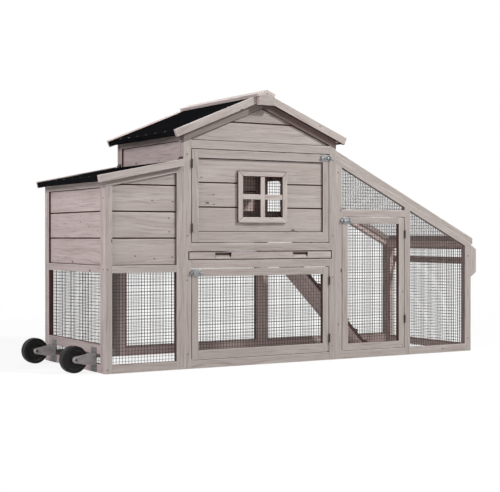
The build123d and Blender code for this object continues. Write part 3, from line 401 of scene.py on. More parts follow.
def make_felt():
    """Black mineral felt: fine stone granules and broad weathering."""
    g = Graph("mineral_felt")
    place = g.position()
    distance, colour = g.cells(place, scale=640)
    stone = g.ramp(colour, [(0.0, srgb(9, 10, 10)), (0.55, srgb(17, 18, 19)), (0.8, srgb(30, 31, 33)),
                            (1.0, srgb(62, 64, 66))])
    cloud = g.noise(place, scale=7, detail=4)
    base = g.mix(g.span(cloud, 0.35, 0.72, 0.0, 0.6), stone, srgb(15, 16, 17))
    grit = g.noise(place, scale=900, detail=2)
    g.bump(g.math("SUBTRACT", grit, distance), 0.0008, 0.7)
    return g.finish(base, g.span(cloud, 0.3, 0.7, 0.95, 0.82), specular=0.0)


def make_metal(name, dark, light, rough_low, rough_high, spangle, metallic=0.85):
    """Zinc-coated steel: crystal spangle, handling smears and fine scratches."""
    g = Graph(name)
    place = g.position()
    cell = g.cells(place, scale=spangle)[1]
    patch = g.noise(place, scale=spangle / 3, detail=4)
    flake = g.node("ShaderNodeRGBToBW")
    g.feed(flake.inputs["Color"], cell)
    share = g.math("ADD", g.math("MULTIPLY", flake.outputs["Val"], 0.5), g.math("MULTIPLY", patch, 0.5))
    colour = g.ramp(share, [(0.25, dark), (0.75, light)])
    scratch = g.noise(g.vector("MULTIPLY", place, (40, 900, 900)), detail=2)
    g.bump(g.math("ADD", scratch, share), 0.0001, 0.35)
    return g.finish(colour, g.span(patch, 0.3, 0.7, rough_low, rough_high), metallic)


def make_castor_steel():
    """Grey-painted pressed steel with a light orange-peel and rubbed edges made lighter, partly wear and
    partly a painted highlight; where the level is low it turns near black: painted shade in the axle
    sockets, and on the plates their darker tone with painted shade under the arms.
    """
    g = Graph("painted_steel")
    place = g.position()
    peel = g.noise(place, scale=520, detail=2)
    cloud = g.noise(place, scale=28, detail=5)
    colour = g.ramp(cloud, [(0.3, srgb(132, 128, 127)), (0.5, srgb(147, 143, 142)),
                            (0.72, srgb(160, 156, 155))])
    # Rounded edges turn paler: partly wear, partly a painted highlight
    edge_wear_and_highlight = g.math("MULTIPLY", g.attribute("worn"), g.span(cloud, 0.4, 0.65, 0.3, 0.9))
    colour = g.mix(edge_wear_and_highlight, colour, srgb(214, 211, 208))
    # Low levels turn near black: painted shade in the axle sockets, and the plates' darker tone with painted
    # shade
    colour = g.mix(g.attribute("stained"), srgb(38, 35, 34), colour)
    g.bump(peel, 0.0003, 0.4)
    return g.finish(colour, g.span(cloud, 0.3, 0.7, 0.36, 0.5), metallic=0.25)


def make_rubber():
    """Black moulded wheel, faintly clouded and specked, lighter grey and smoother on the dish's lip, the
    lighter grey a painted highlight.
    """
    g = Graph("wheel_rubber")
    place = g.position()
    cloud = g.noise(place, scale=36, detail=5)
    speck = g.noise(place, scale=620, detail=2)
    colour = g.ramp(cloud, [(0.3, srgb(6, 6, 6)), (0.55, srgb(12, 11, 11)), (0.8, srgb(24, 23, 22))])
    lip_highlight = g.attribute("worn")
    # The dish's lip turns lighter grey: a painted highlight
    colour = g.mix(g.math("MULTIPLY", lip_highlight, 0.7), colour, srgb(74, 73, 72))
    dull = g.span(cloud, 0.3, 0.7, 0.42, 0.58)
    g.bump(speck, 0.0004, 0.3)
    return g.finish(colour, g.math("MULTIPLY", dull, g.span(lip_highlight, 0.0, 1.0, 1.0, 0.4)), specular=0.24)


WOOD = make_wood()
FELT = make_felt()
ZINC = make_metal("bright_zinc", srgb(104, 106, 108), srgb(172, 174, 176), 0.16, 0.32, 1500)
HINGE_STEEL = make_metal("hinge_steel", srgb(50, 44, 41), srgb(78, 70, 66), 0.4, 0.58, 1500)
WIRE = make_metal("galvanised_wire", srgb(44, 37, 34), srgb(74, 64, 60), 0.42, 0.6, 900, 0.2)
TRAY_SHEET = make_metal("tray_sheet", srgb(140, 143, 146), srgb(196, 199, 201), 0.3, 0.5, 90)
CASTOR_STEEL = make_castor_steel()
RUBBER = make_rubber()


class Build:
    """Vertices and faces of one piece, with the attributes that its material reads."""

    def __init__(self):
        self.points = []
        self.faces = []
        self.grain = []
        self.tone = []
        self.stained = []
        self.worn = []
        self.knotty = []

    def add(self, points, faces, grain=None, tone=0.5, stained=None, worn=None, knotty=0.0):
        """Adds one closed form; grain is per point, the finish level (with its painted light and shade) and
        the share of wear and highlight are per face.
        """
        start = len(self.points)
        self.points.extend(points)
        self.faces.extend([start + i for i in face] for face in faces)
        self.grain.extend(grain or [Vector(p) for p in points])
        self.tone.extend([tone] * len(faces))
        self.stained.extend(stained or [1.0] * len(faces))
        self.worn.extend(worn or [0.0] * len(faces))
        self.knotty.extend([knotty] * len(faces))

    def piece(self, name, material, body, nodes=(), smooth_angle=None):
        """Makes the mesh object, which rides on a body and stands for the named CAD nodes."""
        mesh = bpy.data.meshes.new(name)
        mesh.from_pydata([tuple(p) for p in self.points], [], self.faces)
        mesh.update()
        layer = mesh.attributes.new("grain", "FLOAT_VECTOR", "POINT")
        layer.data.foreach_set("vector", [value for g in self.grain for value in g])
        for key in ("tone", "stained", "worn", "knotty"):
            layer = mesh.attributes.new(key, "FLOAT", "FACE")
            layer.data.foreach_set("value", getattr(self, key))
        if smooth_angle:
            mesh.polygons.foreach_set("use_smooth", [True] * len(mesh.polygons))
            mesh.set_sharp_from_angle(angle=math.radians(smooth_angle))
        mesh.materials.append(material)
        obj = bpy.data.objects.new(name, mesh)
        bpy.context.scene.collection.objects.link(obj)
        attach(obj, body)
        if nodes:
            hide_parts(*nodes)


def body_of(node):
    """Name of the body that carries a CAD node."""
    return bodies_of(frame["nodes"][node])[0]


def cad_solids(node):
    """Each solid of a CAD node as a bmesh; a solid ends where its triangles leave no edge open."""
    mesh = frame["nodes"][node].data
    solids = []
    group = []
    open_edges = set()
    for polygon in mesh.polygons:
        corners = [tuple(round(value, 6) for value in mesh.vertices[i].co) for i in polygon.vertices]
        group.append(corners)
        for a, b in zip(corners, corners[1:] + corners[:1]):
            if a != b:
                open_edges ^= {frozenset((a, b))}
        if not open_edges:
            solids.append(joined(group))
            group = []
    return solids


def joined(triangles):
    """A bmesh of triangles given by their corners."""
    solid = bmesh.new()
    verts = {}
    for corners in triangles:
        for corner in corners:
            if corner not in verts:
                verts[corner] = solid.verts.new(corner)
        if len(set(corners)) == 3:
            solid.faces.new([verts[corner] for corner in corners])
    solid.normal_update()
    return solid


def net_plates(node):
    """Plane, in-plane directions and outline of each net of a CAD node."""
    plates = []
    for solid in cad_solids(node):
        points = np.array([v.co for v in solid.verts])
        solid.free()
        centre = points.mean(0)
        normal = np.linalg.svd(points - centre, full_matrices=False)[2][2]
        level = np.cross((0, 0, 1), normal)
        level /= np.linalg.norm(level)
        rise = np.cross(normal, level)
        flat = [((p - centre) @ level, (p - centre) @ rise) for p in points]
        plates.append((centre, normal, level, rise, hull(flat)))
    return plates


def hull(points):
    """Convex outline of flat points, anticlockwise."""
    ordered = sorted(set((round(x, 7), round(y, 7)) for x, y in points))

    def half(sequence):
        chain = []
        for p in sequence:
            while len(chain) > 1:
                (ax, ay), (bx, by) = chain[-2:]
                if (bx - ax) * (p[1] - ay) - (by - ay) * (p[0] - ax) > 1e-9:
                    break
                chain.pop()
            chain.append(p)
        return chain[:-1]

    return half(ordered) + half(ordered[::-1])


def outside_tree():
    """Everything that a face of the timber could look at: timbers, felts and the planes of the nets."""
    points = []
    faces = []
    for node in (*WOOD_NODES, *FELT_NODES):
        mesh = frame["nodes"][node].data
        start = len(points)
        points.extend(v.co.copy() for v in mesh.vertices)
        faces.extend([start + i for i in p.vertices] for p in mesh.polygons)
    for node in NET_NODES:
        for centre, normal, level, rise, outline in net_plates(node):
            start = len(points)
            points.extend(Vector(centre + u * level + v * rise) for u, v in outline)
            faces.append(list(range(start, start + len(outline))))
    return BVHTree.FromPolygons(points, faces)


TREE = outside_tree()


def free_share(face, direction, reach):
    """Share of sample points on a face from which nothing is met within a reach along a direction."""
    centre = face.calc_center_median()
    samples = [centre]
    for vert in face.verts:
        samples.extend(centre.lerp(vert.co, share) for share in SAMPLE_SHARES)
    free = 0
    for point in samples:
        hit = TREE.ray_cast(point + face.normal * CLEAR, direction, reach)
        free += hit[0] is None
    return free / len(samples)


def timber_axes(solid):
    """Length, width and thickness directions of a member, from its longest edge and broadest face."""
    outline = [e for e in solid.edges if e.calc_face_angle(0.0) > TRUE_EDGE]
    longest = max(outline, key=lambda e: e.calc_length())
    along = (longest.verts[1].co - longest.verts[0].co).normalized()
    broadest = max(solid.faces, key=lambda f: f.calc_area())
    through = (broadest.normal - along * broadest.normal.dot(along)).normalized()
    return along, through.cross(along), through


def face_finishes(solid, through, finish):
    """Normals of a member's faces with their level of finish: 0 brown, 1 grey stain outside, 2 raw wood
    inside, made light as painted light.

    Under an overhang the stain is darkened toward brown: a painted shadow of the eaves.
    """
    finishes = []
    for face in solid.faces:
        level = finish.reveal
        # A pull's undercut never counts as broad, so it takes the reveal's brown as painted shade
        broad = abs(face.normal.dot(through)) > BROAD_FACE and not face.material_index
        shown = face.normal.z > UNDERSIDE and (broad or finish.edges)
        if shown and free_share(face, face.normal, OUTSIDE_REACH) > OPEN_SHARE:
            # Painted shadow of the eaves: the stain falls toward brown by the share of slanted rays that
            # meet an overhang
            eaves_ray = (face.normal * EAVES_RAY_OUT + Vector((0, 0, EAVES_RAY_UP))).normalized()
            level = 1.0 - finish.sheltered * (1.0 - free_share(face, eaves_ray, EAVES_REACH))
        elif broad:
            level = finish.inner
        finishes.append((face.normal.copy(), level))
    return finishes


def add_timber(build, solid, chance, finish):
    """One sawn member: rounded arrises, its own grain and tone, and a finish for each face."""
    along, across, through = timber_axes(solid)
    finishes = face_finishes(solid, through, finish)
    edges = [e for e in solid.edges if e.calc_face_angle(0.0) > ARRIS]
    bmesh.ops.bevel(solid, geom=edges, offset=TIMBER_BEVEL, segments=2, profile=0.6, affect="EDGES",
                    clamp_overlap=True)
    solid.normal_update()
    solid.verts.index_update()
    offset = Vector([chance.uniform(-GRAIN_SPREAD, GRAIN_SPREAD) for _ in range(3)])
    grain = []
    for vert in solid.verts:
        local = Vector((vert.co.dot(along), vert.co.dot(across), vert.co.dot(through)))
        grain.append(local + offset)
    stained = []
    worn = []
    for face in solid.faces:
        flat, level = max((face.normal.dot(normal), level) for normal, level in finishes)
        if flat > SAME_FACE:
            stained.append(level)
            worn.append(0.0)
        else:
            stained.append(min(level for normal, level in finishes if face.normal.dot(normal) > BESIDE))
            worn.append(1.0)
    points = [v.co.copy() for v in solid.verts]
    faces = [[v.index for v in f.verts] for f in solid.faces]
    tone = finish.paler + BOARD_TONE * finish.boarding + TONE_SPREAD * chance.random()
    knotty = float(chance.random() < (BOARD_KNOTS if finish.boarding else FRAME_KNOTS))
    build.add(points, faces, grain, tone, stained, worn, knotty)
    solid.free()


def add_tongue(build, solid):
    """Dark tongue of a board: its middle third, let into the board above."""
    through = timber_axes(solid)[2]
    depths = [v.co.dot(through) for v in solid.verts]
    middle = (min(depths) + max(depths)) / 2
    top = max(v.co.z for v in solid.verts)
    points = []
    for vert in solid.verts:
        point = vert.co - through * (vert.co.dot(through) - middle) * TONGUE_THINNING
        if vert.co.z > top - TOUCHING:
            point.z += TONGUE
        points.append(point)
    solid.verts.index_update()
    faces = [[v.index for v in f.verts] for f in solid.faces]
    build.add(points, faces, stained=[0.0] * len(faces))


def draw_in(solid, axis, gap):
    """Draws both edges of a member across an axis back from its neighbours."""
    places = [v.co[axis] for v in solid.verts]
    low, high = min(places), max(places)
    for vert in solid.verts:
        if vert.co[axis] < low + TOUCHING:
            vert.co[axis] += gap
        elif vert.co[axis] > high - TOUCHING:
            vert.co[axis] -= gap
    solid.normal_update()


def slope_pulls(solid):
    """Finger pulls: an undercut below the upper lip, then a floor that slopes forward to the lower edge.

    The faces of the undercut are marked by their material index, so that they take the brown of the reveals:
    a painted shadow under the upper lip.
    """
    front = min(v.co.y for v in solid.verts)
    back = max(v.co.y for v in solid.verts)

    def sunk(vert):
        return front + CLEAR < vert.co.y < back - CLEAR

    faces = [f for f in solid.faces if all(sunk(v) for v in f.verts)]
    edges = list({e for f in faces for e in f.edges})
    low = min(v.co.z for f in faces for v in f.verts)
    high = max(v.co.z for f in faces for v in f.verts)
    middle = low + PULL_SLOPE * (high - low)
    bmesh.ops.bisect_plane(solid, geom=faces + edges, plane_co=(0, 0, middle), plane_no=(0, 0, 1))
    for vert in [v for v in solid.verts if sunk(v)]:
        if vert.co.z < low + CLEAR:
            vert.co.y = front
        elif vert.co.z > high - CLEAR:
            vert.co.y += PULL_UNDERCUT
    for face in solid.faces:
        face.material_index = int(all(sunk(v) and v.co.z > middle - CLEAR for v in face.verts))
    bmesh.ops.remove_doubles(solid, verts=solid.verts[:], dist=TOUCHING)
    solid.normal_update()


def dress_timber(node):
    """All members of one timber node."""
    build = Build()
    chance = random.Random("timber " + node)
    boarding = any(word in node for word in ("boards", "ramp", "ridge"))
    # Inner faces beyond the nest take the light raw wood: painted light for the dim inside
    finish = Finish(
        boarding=boarding,
        inner=1.0 if node.startswith("nest_") else 2.0,
        reveal=REVEAL.get(node, 0.0),
        edges=node not in BROWN_EDGES,
        paler=PALER.get(node, 0.0),
        sheltered=EAVES_SHADE.get(node, LEAST_EAVES_SHADE),
    )
    for solid in cad_solids(node):
        if node in BOARD_NODES:
            add_tongue(build, solid)
            draw_in(solid, 2, GROOVE)
        if node == "tray_front":
            slope_pulls(solid)
            draw_in(solid, 0, TRAY_SIDE_GAP)
            draw_in(solid, 2, TRAY_TOP_GAP)
        add_timber(build, solid, chance, finish)
    build.piece("timber_" + node, WOOD, body_of(node), [node])


def add_pressed(build, solid, bevel, brightness_at=lambda place: 1.0):
    """One metal or felt solid with its sharp edges eased, and a level for each face by its place: lower for
    the plates' darker tone with painted shade, lowest for painted shade in the axle sockets.
    """
    before = [face.normal.copy() for face in solid.faces]
    if bevel:
        edges = [e for e in solid.edges if e.calc_face_angle(0.0) > math.radians(SHARP_FOLD)]
        bmesh.ops.bevel(solid, geom=edges, offset=bevel, segments=2, profile=0.5, affect="EDGES",
                        clamp_overlap=True)
    solid.normal_update()
    solid.verts.index_update()
    worn = []
    for face in solid.faces:
        worn.append(0.0 if max(face.normal.dot(n) for n in before) > UNEASED else 1.0)
    points = [v.co.copy() for v in solid.verts]
    faces = [[v.index for v in f.verts] for f in solid.faces]
    build.add(points, faces, stained=[brightness_at(f.calc_center_median()) for f in solid.faces], worn=worn)
    solid.free()


def dress_pressed(node, material, bevel=METAL_BEVEL):
    """All solids of a metal node as they are, with eased edges."""
    build = Build()
    for solid in cad_solids(node):
        add_pressed(build, solid, bevel)
    build.piece(node + "_dressed", material, body_of(node), [node], smooth_angle=38)


def solid_of(loops):
    """Closed solid through loops of equally many points, capped at both ends."""
    solid = bmesh.new()
    rows = [[solid.verts.new(point) for point in loop] for loop in loops]
    count = len(rows[0])
    for low, high in zip(rows, rows[1:]):
        for k in range(count):
            after = (k + 1) % count
            solid.faces.new([low[k], low[after], high[after], high[k]])
    solid.faces.new(rows[0][::-1])
    solid.faces.new(rows[-1])
    bmesh.ops.recalc_face_normals(solid, faces=solid.faces[:])
    solid.normal_update()
    return solid


def ring(centre, axis, side, radius, height, flats=False, corners=24):
    """Loop about an axis: a circle, or a hexagon whose flats lie at the radius."""
    out = axis.cross(side)
    loop = []
    for k in range(corners):
        turn = 2 * math.pi * k / corners
        slant = (turn + math.pi / 6) % (math.pi / 3) - math.pi / 6
        reach = radius / math.cos(slant) if flats else radius
        loop.append(centre + axis * height + (side * math.cos(turn) + out * math.sin(turn)) * reach)
    return loop


def box_of(solids):
    """Low and high corners of the box around some solids."""
    points = np.array([v.co for solid in solids for v in solid.verts])
    return Vector(points.min(0)), Vector(points.max(0))


def add_bolt_plate(build, low, high):
    """Sheet with rounded corners, flat against the front."""
    corners = (
        (high.x - PLATE_CORNER, high.z - PLATE_CORNER), (low.x + PLATE_CORNER, high.z - PLATE_CORNER),
        (low.x + PLATE_CORNER, low.z + PLATE_CORNER), (high.x - PLATE_CORNER, low.z + PLATE_CORNER),
    )
    loops = []
    for y in (high.y, high.y - BOLT_PLATE):
        loop = []
        for quarter, (x, z) in enumerate(corners):
            for k in range(5):
                turn = math.pi / 2 * (quarter + k / 4)
                out_x = PLATE_CORNER * math.cos(turn)
                out_z = PLATE_CORNER * math.sin(turn)
                loop.append(Vector((x + out_x, y, z + out_z)))
        loops.append(loop)
    add_pressed(build, solid_of(loops), SHEET_BEVEL)


def add_bolt_strap(build, x0, x1, y_plate, z, bore):
    """Pressed bridge over the rod, round on its back."""
    y_rod = y_plate - BOLT_PLATE - BOLT_ROD
    back = BOLT_ROD + STRAP_WALL
    turns = [math.pi * k / 12 for k in range(13)]
    loops = []
    for x in (x0, x1):
        loop = [Vector((x, y_plate, z - back))]
        for turn in turns:
            loop.append(Vector((x, y_rod - back * math.sin(turn), z - back * math.cos(turn))))
        loop += [Vector((x, y_plate, z + back)), Vector((x, y_plate, z + bore))]
        for turn in turns:
            loop.append(Vector((x, y_rod - bore * math.sin(turn), z + bore * math.cos(turn))))
        loop.append(Vector((x, y_plate, z - bore)))
        loops.append(loop)
    add_pressed(build, solid_of(loops), SHEET_BEVEL)


def dress_fittings(node):
    """A door's own metal: dark hinge leaves and the bright carrier of its bolt, screwed on."""
    leaves = Build()
    carrier = Build()
    chance = random.Random("fittings " + node)
    forward = Vector((0, -1, 0))
    for solid in cad_solids(node):
        low, high = box_of([solid])
        if high.x - low.x < LEAF_WIDTH:
            add_pressed(leaves, solid, METAL_BEVEL)
            continue
        solid.free()
        z = (low.z + high.z) / 2
        y_plate = high.y - BOLT_PLATE
        add_bolt_plate(carrier, low, high)
        for x0 in (low.x + BOLT_STRAP_INSET, high.x - BOLT_STRAP_INSET - BOLT_STRAP):
            add_bolt_strap(carrier, x0, x0 + BOLT_STRAP, y_plate, z, BOLT_ROD + CARRIER_PLAY)
        for x in (low.x + CARRIER_SCREW_INSET, high.x - CARRIER_SCREW_INSET):
            for rise in (-CARRIER_SCREW_RISE, CARRIER_SCREW_RISE):
                add_screw(carrier, Vector((x, y_plate, z + rise)), forward, CARRIER_SCREW, chance)
    leaves.piece(node + "_leaves", HINGE_STEEL, body_of(node), [node], smooth_angle=38)
    carrier.piece(node + "_carrier", ZINC, body_of(node), [node], smooth_angle=38)


def dress_keepers(node):
    """Keepers on the posts: a small plate, a pressed staple over the rod's path and two pins each."""
    build = Build()
    chance = random.Random("keepers")
    forward = Vector((0, -1, 0))
    solids = cad_solids(node)
    for first in range(0, len(solids), KEEPER_SOLIDS):
        low, high = box_of(solids[first:first + KEEPER_SOLIDS])
        x, z = (low.x + high.x) / 2, (low.z + high.z) / 2
        y_plate = high.y - BOLT_PLATE
        half = BOLT_STRAP / 2
        add_bolt_plate(build, low, high)
        add_bolt_strap(build, x - half, x + half, y_plate, z, BOLT_ROD + KEEPER_PLAY)
        for rise in (-KEEPER_PIN_RISE, KEEPER_PIN_RISE):
            add_screw(build, Vector((x, y_plate, z + rise)), forward, KEEPER_PIN, chance)
    for solid in solids:
        solid.free()
    build.piece(node + "_dressed", ZINC, body_of(node), [node], smooth_angle=38)


def dress_brackets(node):
    """Castor brackets: light arms on darker plates, darker partly by their own tone and partly as painted
    shade under the arms.
    """
    build = Build()
    for solid in cad_solids(node):
        plate = box_of([solid])[1].x - PLATE_REACH
        add_pressed(build, solid, BRACKET_BEVEL, lambda place: PLATE_TONE_AND_SHADE if place.x > plate else 1.0)
    build.piece(node + "_dressed", CASTOR_STEEL, body_of(node), [node], smooth_angle=38)


def dress_axles(node):
    """Axle bolts of the castors: round head with a hexagon socket painted dark as shade in the hole, shank
    and nut.
    """
    build = Build()
    back = Vector((0, 1, 0))
    side = Vector((1, 0, 0))
    for solid in cad_solids(node):
        low, high = box_of([solid])
        solid.free()
        middle = (low + high) / 2
        front = Vector((middle.x, low.y, middle.z))
        length = high.y - low.y
        wide = (high.z - low.z) / 2
        rim = wide - AXLE_HEAD_EASE
        head = [
            (rim, AXLE_HEAD, False), (rim, AXLE_HEAD_CHAMFER, False), (wide - AXLE_HEAD_CHAMFER, 0.0, False),
            (AXLE_SOCKET, 0.0, True), (AXLE_SOCKET - SOCKET_TAPER, SOCKET_DEPTH, True),
        ]
        shank = [
            (AXLE_RADIUS, AXLE_HEAD - AXLE_LAP, False), (AXLE_RADIUS, length - AXLE_CHAMFER, False),
            (AXLE_RADIUS - AXLE_CHAMFER, length, False),
        ]
        nut = [
            (AXLE_NUT, length - AXLE_HEAD, True), (AXLE_NUT, length - NUT_SHOULDER, True),
            (AXLE_NUT - NUT_CHAMFER, length - NUT_INSET, True),
        ]

        # Inside the socket the head is painted dark: painted shade in the hole
        def brightness_at(place):
            return float((place - front).length > AXLE_SOCKET)

        for profile in (head, shank, nut):
            loops = [ring(front, back, side, radius, height, flats) for radius, height, flats in profile]
            add_pressed(build, solid_of(loops), 0, brightness_at)
    build.piece(node + "_dressed", CASTOR_STEEL, body_of(node), [node], smooth_angle=30)


def dress_felt(node):
    """Roofing felt with its edges eased, held by clout nails along its open edges."""
    sheet = Build()
    nails = Build()
    for solid in cad_solids(node):
        for face in solid.faces:
            if face.normal.z > FELT_UPWARD and face.calc_area() > FELT_BROAD:
                add_nails(nails, face)
        add_pressed(sheet, solid, FELT_BEVEL)
    sheet.piece(node + "_dressed", FELT, body_of(node), [node], smooth_angle=38)
    nails.piece(node + "_nails", HINGE_STEEL, body_of(node), smooth_angle=30)


def add_nails(build, face):
    """Flat nail heads along all edges of a face but its highest."""
    centre = face.calc_center_median()
    highest = max(face.edges, key=lambda e: e.verts[0].co.z + e.verts[1].co.z)
    for edge in face.edges:
        if edge is highest or edge.calc_face_angle(0.0) < TRUE_EDGE:
            continue
        a, b = edge.verts[0].co, edge.verts[1].co
        along = (b - a).normalized()
        inward = face.normal.cross(along)
        if inward.dot(centre - a) < 0:
            inward.negate()
        run = (b - a).length - 2 * NAIL_INSET
        count = max(1, round(run / NAIL_PITCH))
        for i in range(count + 1):
            place = a + along * (NAIL_INSET + run * i / count) + inward * NAIL_INSET
            loops = [ring(place, face.normal, along, *point, corners=14) for point in NAIL_HEAD]
            add_pressed(build, solid_of(loops), 0)


def add_wire(build, start, end, side, out, radius):
    """A straight wire of a few sides from start to end."""
    points = []
    for place in (start, end):
        for k in range(WIRE_SIDES):
            turn = 2 * math.pi * k / WIRE_SIDES
            points.append(place + (side * math.cos(turn) + out * math.sin(turn)) * radius)
    first = list(range(WIRE_SIDES))
    last = [WIRE_SIDES + k for k in first]
    faces = [[a, b, WIRE_SIDES + b, WIRE_SIDES + a] for a, b in zip(first, first[1:] + first[:1])]
    build.add(points, faces + [first[::-1], last])


def crossings(outline, axis, value):
    """Low and high ends of a line across a convex outline, where the coordinate on an axis has a value."""
    other = 1 - axis
    found = []
    for i, a in enumerate(outline):
        b = outline[(i + 1) % len(outline)]
        if (a[axis] - value) * (b[axis] - value) < 0:
            share = (value - a[axis]) / (b[axis] - a[axis])
            found.append(a[other] + share * (b[other] - a[other]))
    return (min(found), max(found)) if len(found) == 2 else None


def dress_net(node):
    """Welded net: two layers of round wire at the mesh pitch, cut to the outline of the CAD net."""
    build = Build()
    fineness = FINER_NETS.get(node, 1.0)
    upright = UPRIGHT_WIRE * fineness
    across = LEVEL_WIRE * fineness
    for centre, normal, level, rise, outline in net_plates(node):
        centre, normal, level, rise = (Vector(v) for v in (centre, normal, level, rise))
        for axis, radius, shift in ((0, upright, -upright), (1, across, across)):
            low = min(p[axis] for p in outline)
            high = max(p[axis] for p in outline)
            count = int((high - low) / MESH_PITCH)
            first = (low + high - count * MESH_PITCH) / 2
            for i in range(count + 1):
                value = first + i * MESH_PITCH
                ends = crossings(outline, axis, value)
                if ends is None or ends[1] - ends[0] < MESH_PITCH / 2:
                    continue
                fixed, moving = (level, rise) if axis == 0 else (rise, level)
                base = centre + fixed * value + normal * shift
                add_wire(build, base + moving * ends[0], base + moving * ends[1], fixed, normal, radius)
    build.piece("wires_" + node, WIRE, body_of(node), [node], smooth_angle=70)


def lathe(build, profile, centre, axis, side, steps, worn):
    """Closed profile of (radius, height) points turned about an axis through a centre."""
    out = axis.cross(side)
    points = []
    for k in range(steps):
        turn = 2 * math.pi * k / steps
        spoke = side * math.cos(turn) + out * math.sin(turn)
        points.extend(centre + spoke * radius + axis * height for radius, height in profile)
    count = len(profile)
    faces = []
    shares = []
    for k in range(steps):
        here = k * count
        there = (k + 1) % steps * count
        for i in range(count):
            j = (i + 1) % count
            faces.append([here + i, there + i, there + j, here + j])
            shares.append(worn(profile[i], profile[j]))
    build.add(points, faces, worn=shares)


def dress_wheel(node):
    """Castor wheel: grooved tread, rounded shoulders, stepped dish and a hub with a bore."""
    low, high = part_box(node)
    centre = (low + high) / 2
    radius = (high.x - low.x) / 2
    hub_half = (high.y - low.y) / 2
    shoulder = [(radius - 0.004, TREAD_HALF), (radius - 0.0016, TREAD_HALF - 0.001),
                (radius - 0.0003, TREAD_HALF - 0.0026)]
    grooves = []
    for y in (TREAD_GROOVE_PITCH, 0.0, -TREAD_GROOVE_PITCH):
        floor = radius - TREAD_GROOVE
        grooves += [(radius, y + 0.0014), (floor, y + 0.0008), (floor, y - 0.0008), (radius, y - 0.0014)]
    hub = [(0.00405, hub_half), (0.0145, hub_half), (0.016, hub_half - 0.0014), (0.0164, 0.0104)]
    web = [(0.0185, 0.0096), (0.0315, 0.0100), (0.0345, 0.0108)]
    dish = [(0.0358, 0.0152), (0.0368, TREAD_HALF)]
    line = [(0.0405, TREAD_HALF), (0.0411, TREAD_HALF - 0.0007), (0.0419, TREAD_HALF - 0.0007),
            (0.0425, TREAD_HALF)]
    face = hub + web + dish + line + shoulder
    profile = face + grooves + [(r, -y) for r, y in face[::-1]]
    build = Build()

    def lip_highlight_share(a, b):
        """Share of the painted highlight on a stretch of the outline: only the dish's lip has it."""
        return 1.0 if web[-1][0] - CLEAR < min(a[0], b[0]) < dish[-1][0] - CLEAR else 0.0

    lathe(build, profile, centre, Vector((0, 1, 0)), Vector((1, 0, 0)), WHEEL_STEPS, lip_highlight_share)
    build.piece(node + "_tyre", RUBBER, body_of(node), [node], smooth_angle=32)


def screw_head_mesh():
    """Domed head with a cross recess, unit radius, standing on the plane z = 0."""
    head = bmesh.new()
    dome = ((1.0, 0.0), (1.0, 0.16), (0.93, 0.27), (0.76, 0.36), (0.5, 0.41))
    steps = 24
    loops = []
    for radius, height in dome:
        loop = []
        for k in range(steps):
            turn = 2 * math.pi * (k + 0.5) / steps
            loop.append(head.verts.new((radius * math.cos(turn), radius * math.sin(turn), height)))
        loops.append(loop)
    for low, high in zip(loops, loops[1:]):
        for k in range(steps):
            head.faces.new([low[k], low[(k + 1) % steps], high[(k + 1) % steps], high[k]])
    arm = 0.13
    reach = 0.42
    rim_height = 0.43
    floor_height = 0.14
    floor_share = 0.8
    cross = [(reach, arm), (arm, arm), (arm, reach), (-arm, reach), (-arm, arm), (-reach, arm)]
    cross += [(-x, -y) for x, y in cross]
    order = sorted(cross, key=lambda p: math.atan2(p[1], p[0]))
    rim = [head.verts.new((x, y, rim_height)) for x, y in order]
    floor = [head.verts.new((x * floor_share, y * floor_share, floor_height)) for x, y in order]
    top = loops[-1]
    for k in range(len(order)):
        after = (k + 1) % len(order)
        head.faces.new([rim[k], rim[after], floor[after], floor[k]])
    head.faces.new(floor)
    bridge = [e for e in head.edges if e.is_boundary and (e.verts[0] in rim or e.verts[0] in top)]
    bmesh.ops.bridge_loops(head, edges=bridge)
    head.verts.index_update()
    bmesh.ops.recalc_face_normals(head, faces=head.faces[:])
    points = [v.co.copy() for v in head.verts]
    faces = [[v.index for v in f.verts] for f in head.faces]
    head.free()
    return points, faces


HEAD_POINTS, HEAD_FACES = screw_head_mesh()


def add_screw(build, base, outward, radius, chance):
    """One cross-head screw standing on a surface, turned any way."""
    spin = Matrix.Rotation(chance.uniform(0, math.pi), 3, "Z")
    turn = outward.to_track_quat("Z", "Y").to_matrix() @ spin
    build.add([base + turn @ (p * radius) for p in HEAD_POINTS], HEAD_FACES)


def dress_screws(node):
    """Cross-head screws in the places of the CAD heads, each turned its own way."""
    build = Build()
    chance = random.Random("screws " + node)
    for solid in cad_solids(node):
        low, high = box_of([solid])
        solid.free()
        size = high - low
        middle = (low + high) / 2
        axis = min(range(3), key=lambda i: size[i])
        along = Vector((0.0, 0.0, 0.0))
        along[axis] = 1.0
        outward = along if middle[axis] > 0 else -along
        base = middle - outward * size[axis] / 2
        add_screw(build, base, outward, max(size) / 2, chance)
    build.piece(node + "_heads", ZINC, body_of(node), [node], smooth_angle=40)


for wood_node in WOOD_NODES:
    dress_timber(wood_node)
for net_node in NET_NODES:
    dress_net(net_node)
for felt_node in FELT_NODES:
    dress_felt(felt_node)
for zinc_node in ("upper_bolt", "lower_bolt", "run_bolt"):
    dress_pressed(zinc_node, ZINC)
dress_keepers("bolt_keepers")
for fitted_node in ("upper_door_fittings", "lower_door_fittings", "run_door_fittings"):
    dress_fittings(fitted_node)
for hinge_node in ("hinge_fixed_leaves", "nest_lid_hinges"):
    dress_pressed(hinge_node, HINGE_STEEL)
dress_brackets("castor_brackets")
dress_axles("wheel_axles")
dress_pressed("tray_pan", TRAY_SHEET, PAN_BEVEL)
for wheel_node in ("front_wheel", "rear_wheel"):
    dress_wheel(wheel_node)
for screw_node in ("frame_screws", "castor_screws"):
    dress_screws(screw_node)


